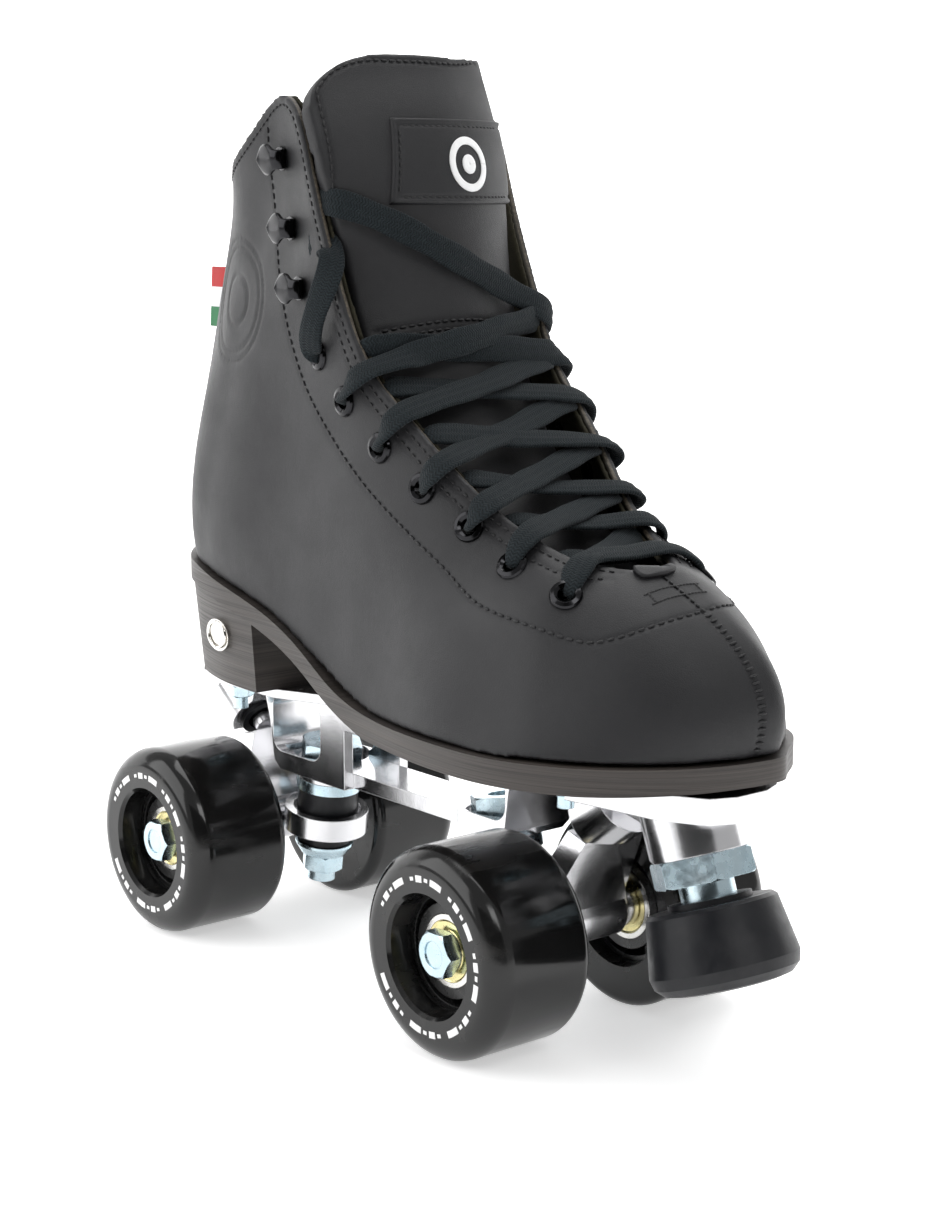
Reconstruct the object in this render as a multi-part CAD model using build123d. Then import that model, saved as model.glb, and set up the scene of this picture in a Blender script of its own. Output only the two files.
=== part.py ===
"""Quad roller skate for the right foot. Millimetres, +X towards the toe, +Y towards the other foot, +Z up.

Every piece is first placed about the middle of the wheelbase, on the ground. save() then moves it to the
part's own frame, whose origin is the bottom centre of the whole skate.
"""
from build123d import *
import math
import os

os.makedirs("parts", exist_ok=True)

# ---------------------------------------------------------------- driving dimensions
AXLE_MID_X = -22.9          # middle of the wheelbase in the part's frame
WHEELBASE = 149.4
WHEEL_R = 31.25
WHEEL_WIDTH = 35.8
HANGER_HALF = 22.5          # middle of the skate to the inner face of the inner bearing
BEARING_R, BEARING_BORE_R, BEARING_WIDTH = 11.0, 4.0, 7.0
BEARING_GAP = 10.0          # length of the spacer between the two bearings of a wheel
OUTER_RECESS = 8.3          # outer bearing face to the wheel's outer face
HUB_R, CORE_R = 14.0, 18.0
BALL_R, BALL_PITCH_R, BALLS = 1.985, 7.5, 7
AXLE_R = 3.98
AXLE_HALF = 51.6

KING_X, KING_Z, KING_TILT = 48.3, 36.5, 8.5      # centre of the truck's ring; the kingpin's lean from vertical
KING_R = 4.75
PIVOT_X, PIVOT_Z = 90.0, 67.0                    # centre of the pivot ball
PIVOT_R = 5.0
RING_R, RING_H, RING_BORE_R = 14.3, 7.5, 6.3

PLATE_TOP = 85.0            # plane that the sole and the heel stand on
FLANGE = 3.0
RAIL_HALF = 9.0
WALL_HALF = 13.0
FLOOR_Z = 53.3              # underside of the plate's floor at the kingpins
NUT_WINDOW = (59.8, 79.5)   # heights that the kingpin nut's window spans

STOP_X, STOP_Z, STOP_TILT = 129.7, 59.9, 20.0    # centre of the toe stop's lock nut; its axis's lean from vertical
STEM_R = 7.94
NUT_HALF = 3.75             # half the height of the toe stop's lock nut
STOP_TOP, STOP_RIM, STOP_END = 10.0, 27.0, 33.0  # down the stem from the lock nut's centre

LEATHER, LINING = 3.0, 1.6  # thicknesses of the boot's wall
SOLE_LIP = 2.0              # how far the outsole stands out past the upper
INSOLE = 3.0

# The boot's wall, from the toe round one side to the back of the heel. Each station has the foot of the wall on
# the sole, the rim of the wall, how far the wall bulges out of the straight line between them at a third and at
# two thirds of its height, and how far it rises above that line at the same two places.
LATERAL = [
    ((147, 6, 94.2), (112.5, 0, 142), (13.5, 10.5), (2, 3)),
    ((140, -16, 94.1), (110, -6, 142.3), (8.5, 7.5), (4, 4.5)),
    ((122, -36, 93.7), (102.5, -12.5, 143), (4.5, 5), (5.5, 5.5)),
    ((95, -48, 93.1), (94, -17.5, 144.8), (3, 6.5), (6, 5.5)),
    ((62, -48, 93), (75, -24.5, 154), (5, 4), (4, 3)),
    ((30, -42, 93.3), (53, -32, 171), (2, 3), (0, 0)),
    ((-2, -37, 102.8), (22.5, -38, 200), (0, 0), (0, 0)),
    ((-32, -34, 113.5), (3.5, -39.3, 243), (-1, -2), (0, 0)),
    ((-62, -32, 120), (-12, -38, 269.5), (1, -4), (0, 0)),
    ((-88, -24, 123), (-54, -29.5, 254), (3, -2.5), (0, 0)),
    ((-105, -10, 124), (-72, -12, 247), (3, 3.5), (0, 0)),
    ((-107, 0, 124), (-75, 0, 246), (4.5, 2), (0, 0)),
]
MEDIAL_NARROWING = 0.86     # the inner side of the forefoot against the outer side
FOREFOOT = (20, 120)        # x range that the narrowing holds for
MEDIAL_TOE_SHIFT = 3.0      # the toe leans to the inner side
SOLE_TOP = [(-112, 123.6), (-83, 122.6), (-57, 118.6), (-36, 114), (-11, 106), (7, 98), (22, 93.8), (36, 92.4),
            (60, 92.4), (100, 92.6), (156, 93.8)]
SOLE_BOTTOM = [(-112, 117), (-57, 112), (-36, 107.5), (-11, 99.5), (7, 91.5), (22, 87), (36, 84.6), (60, 84.4),
               (112, 84.8), (156, 87.5)]
HEEL_BREAST_X = -41.0
HEEL_TAPER = 0.93           # size of the heel's foot against its top

# Tongue: centre line x, z on its front face, half width, and how far its edges fall behind the middle
TONGUE = [(98, 133, 20, 3), (80, 141, 24, 5), (62, 152, 27, 6), (48, 164, 28, 7), (36, 180, 29, 8),
          (27, 198, 30, 9), (21, 220, 31, 10), (17, 250, 32.5, 11), (9, 272, 33.5, 10), (2, 286.5, 33.5, 9)]
TONGUE_THICK = 5.0

EYELETS = [(1.5, 196.6), (15.5, 183.8), (32, 171.4), (49.3, 161), (65.5, 151.4), (82.5, 142.3), (102.5, 136.3)]
HOOKS = [(-21, 254.8), (-16, 233.9), (-10, 216)]
EYELET_R, EYELET_FLANGE_R = 3.0, 4.7
TAB_END = [(-113.5, 199), (-111.8, 219.5)]      # free end of the back tab, x and z at its foot and its top
TAB_REACH, TAB_HALF = 29.0, 1.1
LACE_R = 1.9


# ---------------------------------------------------------------- small helpers
def save(node, *solids):
    """Write one sub-part, moved into the part's frame."""
    shape = solids[0] if len(solids) == 1 else Compound(list(solids))
    export_step(Pos(AXLE_MID_X, 0, 0) * shape, f"parts/{node}.step")


def disc(radius, low, high, bore=0.0):
    """Round piece on the Z axis from low to high, with an optional bore."""
    body = Pos(0, 0, low) * Cylinder(radius, high - low, align=(Align.CENTER, Align.CENTER, Align.MIN))
    if bore:
        body -= Pos(0, 0, low - 1) * Cylinder(bore, high - low + 2, align=(Align.CENTER, Align.CENTER, Align.MIN))
    return body


def hex_nut(across_flats, low, high, bore):
    """Hexagonal nut on the Z axis with its corners turned off at both ends."""
    side = extrude(RegularPolygon(across_flats / 2, 6, major_radius=False), high - low)
    body = Pos(0, 0, low) * side
    corner = across_flats / math.sqrt(3)
    height = high - low
    cone = revolve(Plane.XZ * Polygon((0, low), (corner - 0.9, low), (corner + 0.3, low + 0.9),
                                      (corner + 0.3, high - 0.9), (corner - 0.9, high), (0, high),
                                      align=None), Axis.Z)
    body = body & cone
    return body - Pos(0, 0, low - 1) * Cylinder(bore, height + 2, align=(Align.CENTER, Align.CENTER, Align.MIN))


def turned(points, axis=Axis.Z):
    """Solid of revolution from an outline of (radius, height) points."""
    return revolve(Plane.XZ * Polygon(*points, align=None), axis)


def side_slab(points, y_low, y_high):
    """Plate with the side outline (x, z), from y_low to y_high."""
    face = Plane.XZ * Polygon(*points, align=None)
    return Pos(0, y_high, 0) * extrude(face, y_high - y_low)


def rear(shape):
    """The front truck's piece, turned round for the rear truck."""
    return mirror(shape, about=Plane.YZ)


def lean(degrees):
    """Unit vector that leans from vertical towards +X."""
    return Vector(math.sin(math.radians(degrees)), 0, math.cos(math.radians(degrees)))


KING = Plane(origin=(KING_X, 0, KING_Z), x_dir=(0, 1, 0), z_dir=lean(-KING_TILT))
STOP = Plane(origin=(STOP_X, 0, STOP_Z), x_dir=(0, 1, 0), z_dir=lean(-STOP_TILT))
TILT_AXIS = Vector(PIVOT_X - KING_X, 0, PIVOT_Z - KING_Z).normalized()
PIVOT = Plane(origin=(PIVOT_X, 0, PIVOT_Z), x_dir=(0, 1, 0), z_dir=TILT_AXIS)


# ---------------------------------------------------------------- boot
def stations():
    """Closed ring of wall stations: toe, lateral side, back, medial side."""
    medial = []
    for foot, rim, bulge, rise in LATERAL[1:-1]:
        width = MEDIAL_NARROWING if FOREFOOT[0] < foot[0] < FOREFOOT[1] else 1.0
        shift = MEDIAL_TOE_SHIFT if foot[0] > 100 else 0.0
        medial.append(((foot[0] + shift, -foot[1] * width, foot[2]), (rim[0], -rim[1], rim[2]), bulge, rise))
    return LATERAL + medial[::-1]


def seam_direction(foot, rim):
    """Outward direction of the upright plane that the toe seam or the back seam lies in."""
    return Vector(foot.X - rim.X, foot.Y - rim.Y, 0).normalized()


def wall_column(ring, i):
    """Four points up the outside of the wall at a station."""
    foot, rim, bulge, rise = ring[i]
    before, after = Vector(*ring[i - 1][0]), Vector(*ring[(i + 1) % len(ring)][0])
    out = Vector(before.Y - after.Y, after.X - before.X, 0).normalized()
    foot, rim = Vector(*foot), Vector(*rim)
    if i in (0, len(LATERAL) - 1):
        out = seam_direction(foot, rim)
    thirds = [foot + (rim - foot) * (k / 3) + out * bulge[k - 1] + Vector(0, 0, rise[k - 1]) for k in (1, 2)]
    return [foot, *thirds, rim]


def refined(columns):
    """Twice as many columns: a smooth midpoint between each pair, from their four neighbours."""
    count, finer = len(columns), []
    for i in range(count):
        near = [columns[(i + k) % count] for k in (-1, 0, 1, 2)]
        finer.append(near[1])
        finer.append([(near[1][j] + near[2][j]) * (9 / 16) - (near[0][j] + near[3][j]) * (1 / 16) for j in range(4)])
    return finer


RING = stations()
WALL = refined([wall_column(RING, i) for i in range(len(RING))])
TOE, BACK = 0, 2 * (len(LATERAL) - 1)


def foot_normal(i):
    """Outward horizontal normal of the sole's outline at a column of the wall."""
    if i in (TOE, BACK):
        return seam_direction(WALL[i][0], WALL[i][-1])
    run = WALL[(i + 1) % len(WALL)][0] - WALL[i - 1][0]
    return Vector(-run.Y, run.X, 0).normalized()


def wall_normal(i, j):
    """Outward normal of the wall at point j of column i; the wall's foot is cut square to the sole."""
    if j == 0:
        return foot_normal(i)
    along = WALL[(i + 1) % len(WALL)][j] - WALL[i - 1][j]
    up = WALL[i][min(j + 1, 3)] - WALL[i][j - 1]
    normal = up.cross(along).normalized()
    if i in (TOE, BACK):
        across = Vector(-foot_normal(i).Y, foot_normal(i).X, 0)
        normal = (normal - across * normal.dot(across)).normalized()
    return normal if normal.dot(foot_normal(i)) > 0 else normal * -1


def band(outer, inner):
    """Closed outline between two rows of points."""
    return Wire([Spline(*outer), Line(outer[-1], inner[-1]), Spline(*inner[::-1]), Line(inner[0], outer[0])])


def wall_half(indices, depth_out, depth_in):
    """Half of the boot's wall, between two depths below its outer surface."""
    rows = []
    for i in indices:
        i %= len(WALL)
        outer = [WALL[i][j] - wall_normal(i, j) * depth_out for j in range(4)]
        inner = [WALL[i][j] - wall_normal(i, j) * depth_in for j in range(4)]
        rows.append(band(outer, inner))
    return Solid.make_loft(rows)


LATERAL_HALF = range(TOE, BACK + 1)
MEDIAL_HALF = range(BACK, len(WALL) + 1)


def footprint(offset):
    """The sole's outline in plan, moved out by offset."""
    points = [Vector(foot.X, foot.Y, 0) + foot_normal(i) * offset for i, (foot, *_) in enumerate(WALL)]
    return make_face(Wire([Spline(*points, periodic=True)]))


def sole_band(top, bottom):
    """Side view of a layer between two curves, across the whole width."""
    upper, lower = Spline(*[(x, 0, z) for x, z in top]), Spline(*[(x, 0, z) for x, z in bottom])
    ends = [Line(upper @ 0, lower @ 0), Line(upper @ 1, lower @ 1)]
    face = make_face(Wire([upper, lower, *ends]))
    return Solid.extrude(face.face(), Vector(0, 160, 0)).moved(Pos(0, -80, 0))


def sole_layer(offset, top, bottom):
    """One layer of the sole: the plan outline cut to the side view."""
    block = Pos(0, 0, 60) * extrude(footprint(offset), 90)
    return block & sole_band(top, bottom)


def raised(curve, height):
    return [(x, z + height) for x, z in curve]


def heel():
    """Stacked heel under the shank, tapering down to its foot."""
    shape = footprint(SOLE_LIP - 0.5)
    high, low = SOLE_BOTTOM[0][1] + 3, PLATE_TOP
    top = Pos(0, 0, high) * shape
    foot = Pos(HEEL_BREAST_X * (1 - HEEL_TAPER), 0, low) * scale(shape, HEEL_TAPER)
    block = Solid.make_loft([top.face().outer_wire(), foot.face().outer_wire()], ruled=True)
    keep = Pos(HEEL_BREAST_X - 50, 0, 100) * Box(100, 100, 60)
    under = sole_band(raised(SOLE_BOTTOM, 40), SOLE_BOTTOM)
    return block & keep - under


def heel_badge():
    """Oval plate pinned to the outer side of the heel."""
    plane = Plane(origin=(-61.5, -28, 101.6), x_dir=(1, 0, 0), z_dir=(0, -1, -0.06))
    return plane * extrude(Ellipse(6.3, 5.4), 5.9)


def tongue_rows(front, back):
    rows = []
    for k, (x, z, half, drop) in enumerate(TONGUE):
        lower, upper = TONGUE[max(k - 1, 0)], TONGUE[min(k + 1, len(TONGUE) - 1)]
        run = Vector(upper[0] - lower[0], 0, upper[1] - lower[1]).normalized()
        out = Vector(run.Z, 0, -run.X)
        across = [Vector(x, half * t, z) - out * (drop * t * t) for t in (-1, -0.5, 0, 0.5, 1)]
        rows.append(([p + out * front for p in across], [p - out * back for p in across]))
    return rows


def tongue():
    return Solid.make_loft([band(front, back) for front, back in tongue_rows(0, TONGUE_THICK)])


def tongue_patch():
    """Sewn patch near the top of the tongue."""
    block = Pos(30, 0, 254) * Box(80, 36, 24)
    skin = Solid.make_loft([band(front, back) for front, back in tongue_rows(1.5, -0.05)])
    return skin & block


def on_wall(shell, x, z, side):
    """Point and outward normal where a line across the skate first meets the boot's wall."""
    start = Vector(x, side * 90, z)
    hits = shell.find_intersection_points(Axis(start, (0, -side, 0)))
    point, normal = min(hits, key=lambda hit: (hit[0] - start).length)
    if normal.Y * side < 0:
        normal = normal * -1
    return point, normal


def seat(point, normal):
    return Plane(origin=point, z_dir=normal)


def eyelet(point, normal):
    """Rolled metal eyelet through the wall, its flange on the outside."""
    outline = [(2.3, -5.2), (EYELET_R, -5.2), (EYELET_R, 0.15), (EYELET_FLANGE_R, 0.15), (4.3, 0.9),
               (3.2, 1.3), (2.3, 0.6)]
    return seat(point, normal) * turned(outline)


def lace_hook(point, normal, side):
    """Riveted lace hook: a foot on the leather and a bent-over tongue that opens to the rear."""
    plane = Plane(origin=point, x_dir=Vector(1, 0, 0).cross(normal).cross(normal) * -1, z_dir=normal)
    foot = disc(4.6, 0.3, 1.5)
    neck = Pos(2.6, 0, 3) * Box(1.4, 5.5, 4.2)
    lip = Pos(-0.6, 0, 5.1) * Box(7.8, 7.5, 1.3)
    return plane * (foot + neck + lip)


def back_tab():
    """Folded ribbon sewn into the back seam, standing out behind it like a small flag."""
    (back_low, low), (back_high, high) = TAB_END
    ribbon = [(back_low, low), (back_high, high), (back_high + TAB_REACH, high), (back_low + TAB_REACH - 4, low)]
    return side_slab(ribbon, -TAB_HALF, TAB_HALF)


def tongue_crown(place, gap):
    """Point over the middle of the tongue, level with a place between the facings, at least gap clear of it."""
    k = min(range(1, len(TONGUE) - 1), key=lambda k: (Vector(TONGUE[k][0], 0, TONGUE[k][1]) - place).length)
    run = Vector(TONGUE[k + 1][0] - TONGUE[k - 1][0], 0, TONGUE[k + 1][1] - TONGUE[k - 1][1]).normalized()
    out = Vector(run.Z, 0, -run.X)
    height = (place - Vector(TONGUE[k][0], 0, TONGUE[k][1])).dot(out)
    return place + out * max(0.0, gap - height)


def over_edge(point, normal):
    """Point just outside the facing's edge, nearest to an eyelet."""
    rims = [column[-1] for column in WALL if column[-1].Y * point.Y > 0]
    near = sorted(rims, key=lambda rim: (rim - point).length)[:2]
    return (near[0] + near[1]) * 0.5 + normal * 5.2


def lace_route(start, finish, lift):
    """One strand from an eyelet over the facing's edge, across the tongue and into an eyelet of the other side."""
    (p, n), (q, m) = start, finish
    edge_p, edge_q = over_edge(p, n), over_edge(q, m)
    crown = tongue_crown(Vector((edge_p.X + edge_q.X) / 2, 0, (edge_p.Z + edge_q.Z) / 2), 3.5 + lift)
    return [p + n * 3.7, edge_p, crown + Vector(0, 0, lift / 2), edge_q, q + m * 3.7]


def lace_tube(points):
    runs = [(b - a).length for a, b in zip(points, points[1:])]
    radii = [0.4 * min(a, b) for a, b in zip(runs, runs[1:])]
    path = FilletPolyline(*points, radius=radii) if len(points) > 2 else Line(*points)
    section = Plane(origin=points[0], z_dir=points[1] - points[0]) * Circle(LACE_R)
    return sweep(section, path=path)


# ---------------------------------------------------------------- plate
def plate():
    """Cast plate: two platforms, a low rail between the trucks, kingpin bosses, pivot housings, toe-stop boss."""
    under = PLATE_TOP - FLANGE
    heel_flange = extrude(Plane.XY.offset(under) * Polygon(
        (-95, -16), (-89, -25), (-43, -25), (0, -RAIL_HALF), (0, RAIL_HALF), (-43, 25), (-89, 25), (-95, 16),
        align=None), FLANGE)
    heel_flange = fillet(heel_flange.edges().filter_by(Axis.Z).group_by(Axis.X)[0], 5)
    toe_outline = Polygon((40, -18), (58, -24), (100, -25), (132, -20), (145, -13), (148, -6), (148, 6), (145, 13),
                          (132, 20), (100, 25), (58, 24), (40, 18), align=None)
    toe_flange = extrude(Plane.XY.offset(under) * toe_outline, FLANGE)
    skirt_low = 77.5
    skirt = extrude(Plane.XY.offset(skirt_low) * toe_outline, under - skirt_low)
    skirt -= extrude(Plane.XY.offset(skirt_low) * offset(toe_outline, -3.0), under - skirt_low)
    skirt &= Pos(126, 0, 80) * Box(52, 60, 20)

    wall = [(-66, under), (-62, 70), (-60, FLOOR_Z + 3), (-57, FLOOR_Z), (-32, FLOOR_Z), (32, FLOOR_Z),
            (57, FLOOR_Z), (60, FLOOR_Z + 3), (62, 70), (66, under), (40, under), (38, 63.5), (-20, 63.5),
            (-4, under)]
    walls = side_slab(wall, -WALL_HALF, WALL_HALF) - side_slab(
        [(-61, under), (-58, FLOOR_Z + 5), (58, FLOOR_Z + 5), (61, under)], 3.5 - WALL_HALF, WALL_HALF - 3.5)
    waist = Pos(9, 0, 58) * Box(58, 60, 30)
    waist -= Pos(9, 0, 58) * Box(58, 2 * RAIL_HALF, 30)
    walls -= waist
    window = Pos(KING_X - 1.5, 0, (NUT_WINDOW[0] + NUT_WINDOW[1]) / 2) * Box(27, 60, NUT_WINDOW[1] - NUT_WINDOW[0])
    window = fillet(window.edges().filter_by(Axis.Y), 5)
    walls -= window
    walls -= rear(window)

    body = heel_flange + toe_flange + skirt + walls
    boss = KING * disc(11, 14.9, 21)
    housing = PIVOT * disc(10.6, -3.5, 11)
    strut = side_slab([(76, under), (80, 72), (86, 68), (98, 74), (106, under)], -8, 8)
    for piece in (boss, housing & Pos(PIVOT_X, 0, 72) * Box(60, 60, 24), strut):
        body += piece + rear(piece)
    stop_boss = STOP * disc(14, NUT_HALF + 0.1, 26)
    stop_boss &= Pos(130, 0, 72) * Box(60, 60, 2 * (under - 72))
    gusset = side_slab([(98, under), (101, 72), (110, 70), (120, 66), (120, under)], -6, 6)
    body += stop_boss + gusset

    for shape in (KING * disc(KING_R + 0.05, 5, 40), KING * disc(12.5, 21.1, 40), PIVOT * disc(7.55, -6, 7)):
        body -= shape
        body -= rear(shape)
    body -= STOP * disc(STEM_R + 0.06, 0, 27)
    for x, y in BOLTS:
        body -= Pos(x, y, 0) * disc(2.6, 70, 90)
    return body


BOLTS = [(-69, -20), (-69, 20), (95, -20), (95, 20)]


def mounting_bolt(x, y):
    """Countersunk bolt from inside the boot down through the sole and the plate."""
    return Pos(x, y, 0) * (disc(2.5, 73.5, 90) + disc(2.5, 80, 92))


# ---------------------------------------------------------------- trucks
def truck():
    """Hanger: a ring round the kingpin, an arm up to the pivot, and a cross bar that holds the axle."""
    ring = KING * (disc(RING_R, -RING_H / 2, RING_H / 2) - disc(11.4, 1.9, 5) - disc(10.6, -5, -2.2)
                   - disc(RING_BORE_R, -9, 9))
    axle_x, axle_z = WHEELBASE / 2, WHEEL_R
    bar = Pos(axle_x, 0, axle_z) * Rot(90, 0, 0) * Cylinder(8.0, 2 * HANGER_HALF - 12)
    ends = Pos(axle_x, 0, axle_z) * Rot(90, 0, 0) * Cylinder(6.6, 2 * HANGER_HALF)
    arm = side_slab([(58, 36), (63, 47), (84, 64), (88.5, 60), (79, 36), (76, 28), (62, 31)], -6, 6)
    wing = loft([Plane(origin=(axle_x, 0, axle_z), x_dir=(0, 1, 0), z_dir=(0.3, 0, 1)) * Rectangle(40, 10),
                 Plane(origin=(85, 0, 60), x_dir=(0, 1, 0), z_dir=(0.3, 0, 1)) * Rectangle(13, 8)])
    body = bar + ends + arm + wing
    body -= KING * disc(RING_R - 0.5, -14, 14)
    body += ring
    body += PIVOT * disc(PIVOT_R - 1.0, -9, 0)
    body += Pos(PIVOT_X, 0, PIVOT_Z) * Sphere(PIVOT_R)
    body -= Pos(axle_x, 0, axle_z) * Rot(90, 0, 0) * Cylinder(AXLE_R + 0.02, 60)
    return body


def across(piece, side):
    """Put a piece built up from Z = 0 onto the axle line of one side, Z becoming the distance outwards."""
    return Pos(WHEELBASE / 2, 0, WHEEL_R) * Rot(-90 * side, 0, 0) * piece


BEARINGS = (HANGER_HALF, HANGER_HALF + BEARING_WIDTH + BEARING_GAP)      # inner faces of the two bearings
WHEEL_INNER = BEARINGS[1] + BEARING_WIDTH + OUTER_RECESS - WHEEL_WIDTH
WHEEL_OUTER = WHEEL_INNER + WHEEL_WIDTH


def inner_ring(low):
    ring = disc(5.9, low, low + BEARING_WIDTH, BEARING_BORE_R)
    return ring - Pos(0, 0, low + BEARING_WIDTH / 2) * Torus(BALL_PITCH_R, BALL_R + 0.04)


def outer_ring(low):
    ring = disc(BEARING_R, low, low + BEARING_WIDTH, 9.2)
    return fillet(ring.edges().filter_by(GeomType.CIRCLE).sort_by(SortBy.RADIUS)[-2:], 0.4) \
        - Pos(0, 0, low + BEARING_WIDTH / 2) * Torus(BALL_PITCH_R, BALL_R + 0.04)


def shields(low):
    """The two pressed shields of one bearing, with their rolled edge."""
    outline = [(6.05, 0), (6.4, 0.3), (8.6, 0.3), (9.15, 0), (9.15, 0.25), (8.7, 0.55), (6.3, 0.55), (6.05, 0.25)]
    lower = Pos(0, 0, low + 0.05) * turned(outline)
    upper = Pos(0, 0, low + BEARING_WIDTH - 0.05) * mirror(turned(outline), about=Plane.XY)
    return [lower, upper]


def ball_set(low):
    """Seven balls and the crown cage that spaces them."""
    middle = low + BEARING_WIDTH / 2
    spots = [Pos(0, 0, middle) * Rot(0, 0, 360 * k / BALLS) * Pos(BALL_PITCH_R, 0, 0) for k in range(BALLS)]
    cage = disc(8.7, middle + 0.8, middle + 2.5, 6.4)
    for spot in spots:
        cage -= spot * Sphere(BALL_R + 0.04)
    return [spot * Sphere(BALL_R) for spot in spots] + [cage]


def tyre():
    """Urethane tyre: a wide outer shoulder, a tighter inner one, a stepped mouth round the hub."""
    low, high = WHEEL_INNER, WHEEL_OUTER
    body = disc(WHEEL_R, low, high)
    rims = body.edges().filter_by(GeomType.CIRCLE).sort_by(Axis.Z)
    body = fillet(rims[-1], 7.0)
    body = fillet(body.edges().filter_by(GeomType.CIRCLE).sort_by(Axis.Z)[0], 3.2)
    bore = turned([(0, low - 1), (19.0, low - 1), (CORE_R, low + 3), (CORE_R, high - 9), (17.2, high - 7),
                   (17.6, high - 1.2), (19.2, high + 1), (0, high + 1)])
    return body - bore


def hub():
    """Wheel core: bearing seats and a rim joined by a web with six windows."""
    seats = disc(HUB_R, BEARINGS[0] + 0.3, BEARINGS[1] + BEARING_WIDTH - 0.2, 9.4)
    for low in BEARINGS:
        seats -= disc(BEARING_R + 0.0, low - 1, low + BEARING_WIDTH + (0 if low == BEARINGS[0] else 1))
    rim = disc(CORE_R, WHEEL_INNER + 5, WHEEL_OUTER - 9.2, CORE_R - 1.6)
    web = disc(CORE_R - 1, BEARINGS[0] + 5, BEARINGS[1] + 1.5, HUB_R - 0.8)
    for k in range(6):
        web -= Rot(0, 0, 60 * k + 30) * Pos(CORE_R - 2.6, 0, 34) * Box(6, 8.5, 40)
    return seats + rim + web


# ---------------------------------------------------------------- toe stop
def toe_stop_rubber():
    """Flared rubber stopper with a rounded lower edge."""
    body = STOP * turned([(0, -STOP_TOP), (17.6, -STOP_TOP), (18.75, -STOP_TOP - 1.0), (21.4, -STOP_RIM),
                          (20.6, -STOP_RIM - 3.2), (18.2, -STOP_END + 0.6), (15.5, -STOP_END), (0, -STOP_END)])
    return body - STOP * disc(STEM_R + 0.02, -STOP_TOP - 14, -STOP_TOP + 1)


# ---------------------------------------------------------------- assembly
def build_boot():
    right = wall_half(LATERAL_HALF, 0, LEATHER)
    left = wall_half(MEDIAL_HALF, 0, LEATHER)
    linings = [wall_half(half, LEATHER + 0.2, LEATHER + LINING) for half in (LATERAL_HALF, MEDIAL_HALF)]
    walls = {-1: right, 1: left}
    seats = {side: [on_wall(walls[side], x, z, side) for x, z in EYELETS] for side in walls}
    hooks = [(*on_wall(walls[side], x, z, side), side) for side in walls for x, z in HOOKS]
    for side in walls:
        for point, normal in seats[side]:
            hole = seat(point, normal) * disc(EYELET_R + 0.03, -8, 3)
            walls[side] -= hole
            linings = [lining - hole for lining in linings]
    save("upper_right", walls[-1])
    save("upper_left", walls[1])
    save("upper_lining", *linings)
    save("eyelets", *[eyelet(*spot) for side in walls for spot in seats[side]])
    save("lace_hooks", *[lace_hook(*hook) for hook in hooks])
    save("tongue", tongue())
    save("tongue_patch", tongue_patch())
    outsole = sole_layer(SOLE_LIP, SOLE_TOP, SOLE_BOTTOM) & Pos(0, 0, PLATE_TOP + 50) * Box(400, 200, 99.9)
    insole = sole_layer(-LEATHER - LINING - 1.4, raised(SOLE_TOP, INSOLE), raised(SOLE_TOP, 0.1))
    block = heel()
    badge = heel_badge()
    for x, y in BOLTS:
        drill = Pos(x, y, 0) * disc(2.6, 80, 93)
        outsole -= drill
        block -= drill
    save("outsole", outsole)
    save("insole", insole)
    save("heel_block", block - badge)
    save("heel_badge", badge)

    lateral, medial = seats[-1], seats[1]
    last = len(EYELETS) - 1
    strands = [lace_route(lateral[last], medial[last], 1)]
    for k in range(last):
        strands.append(lace_route(lateral[k + 1], medial[k], 1))
        strands.append(lace_route(medial[k + 1], lateral[k], 6.5))
    save("laces", *[lace_tube(points) for points in strands])
    save("back_tab", back_tab() - walls[-1] - walls[1])


def build_plate():
    save("plate", plate())
    save("mounting_bolts", *[mounting_bolt(x, y) for x, y in BOLTS])
    save("mounting_nuts", *[Pos(x, y, 0) * hex_nut(8, 77.5, 81.9, 2.55) for x, y in BOLTS])
    king_pieces = {
        "kingpins": disc(KING_R, -22.4, 26.5),
        "kingpin_lock_nuts": hex_nut(19, 21.2, 27.5, KING_R + 0.05),
        "cushion_retainers_upper": disc(10.9, 11.0, 14.8, KING_R + 0.05) - disc(10.2, 10, 12),
        "cushion_retainers_lower": turned([(KING_R + 0.05, -12.6), (7.8, -12.6), (9.9, -9.3), (9.9, -8.3),
                                           (9.2, -8.3), (9.0, -9.5), (KING_R + 0.05, -9.5)]),
        "action_nuts": hex_nut(12.7, -18.5, -12.7, KING_R + 0.05),
    }
    for node, piece in king_pieces.items():
        save(node, KING * piece, rear(KING * piece))
    for end, place in (("front", lambda shape: shape), ("rear", rear)):
        upper = disc(10.1, RING_H / 2 - 1.75, 11.9, 5.4)
        lower = disc(8.9, -9.4, -RING_H / 2 + 1.45, 5.4)
        save(f"cushions_{end}", place(KING * upper), place(KING * lower))
    cup = PIVOT * (disc(7.5, -5, 6.9) - disc(PIVOT_R + 0.06, -6, 0) - Sphere(PIVOT_R + 0.06))
    save("pivot_cups", cup, rear(cup))


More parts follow.
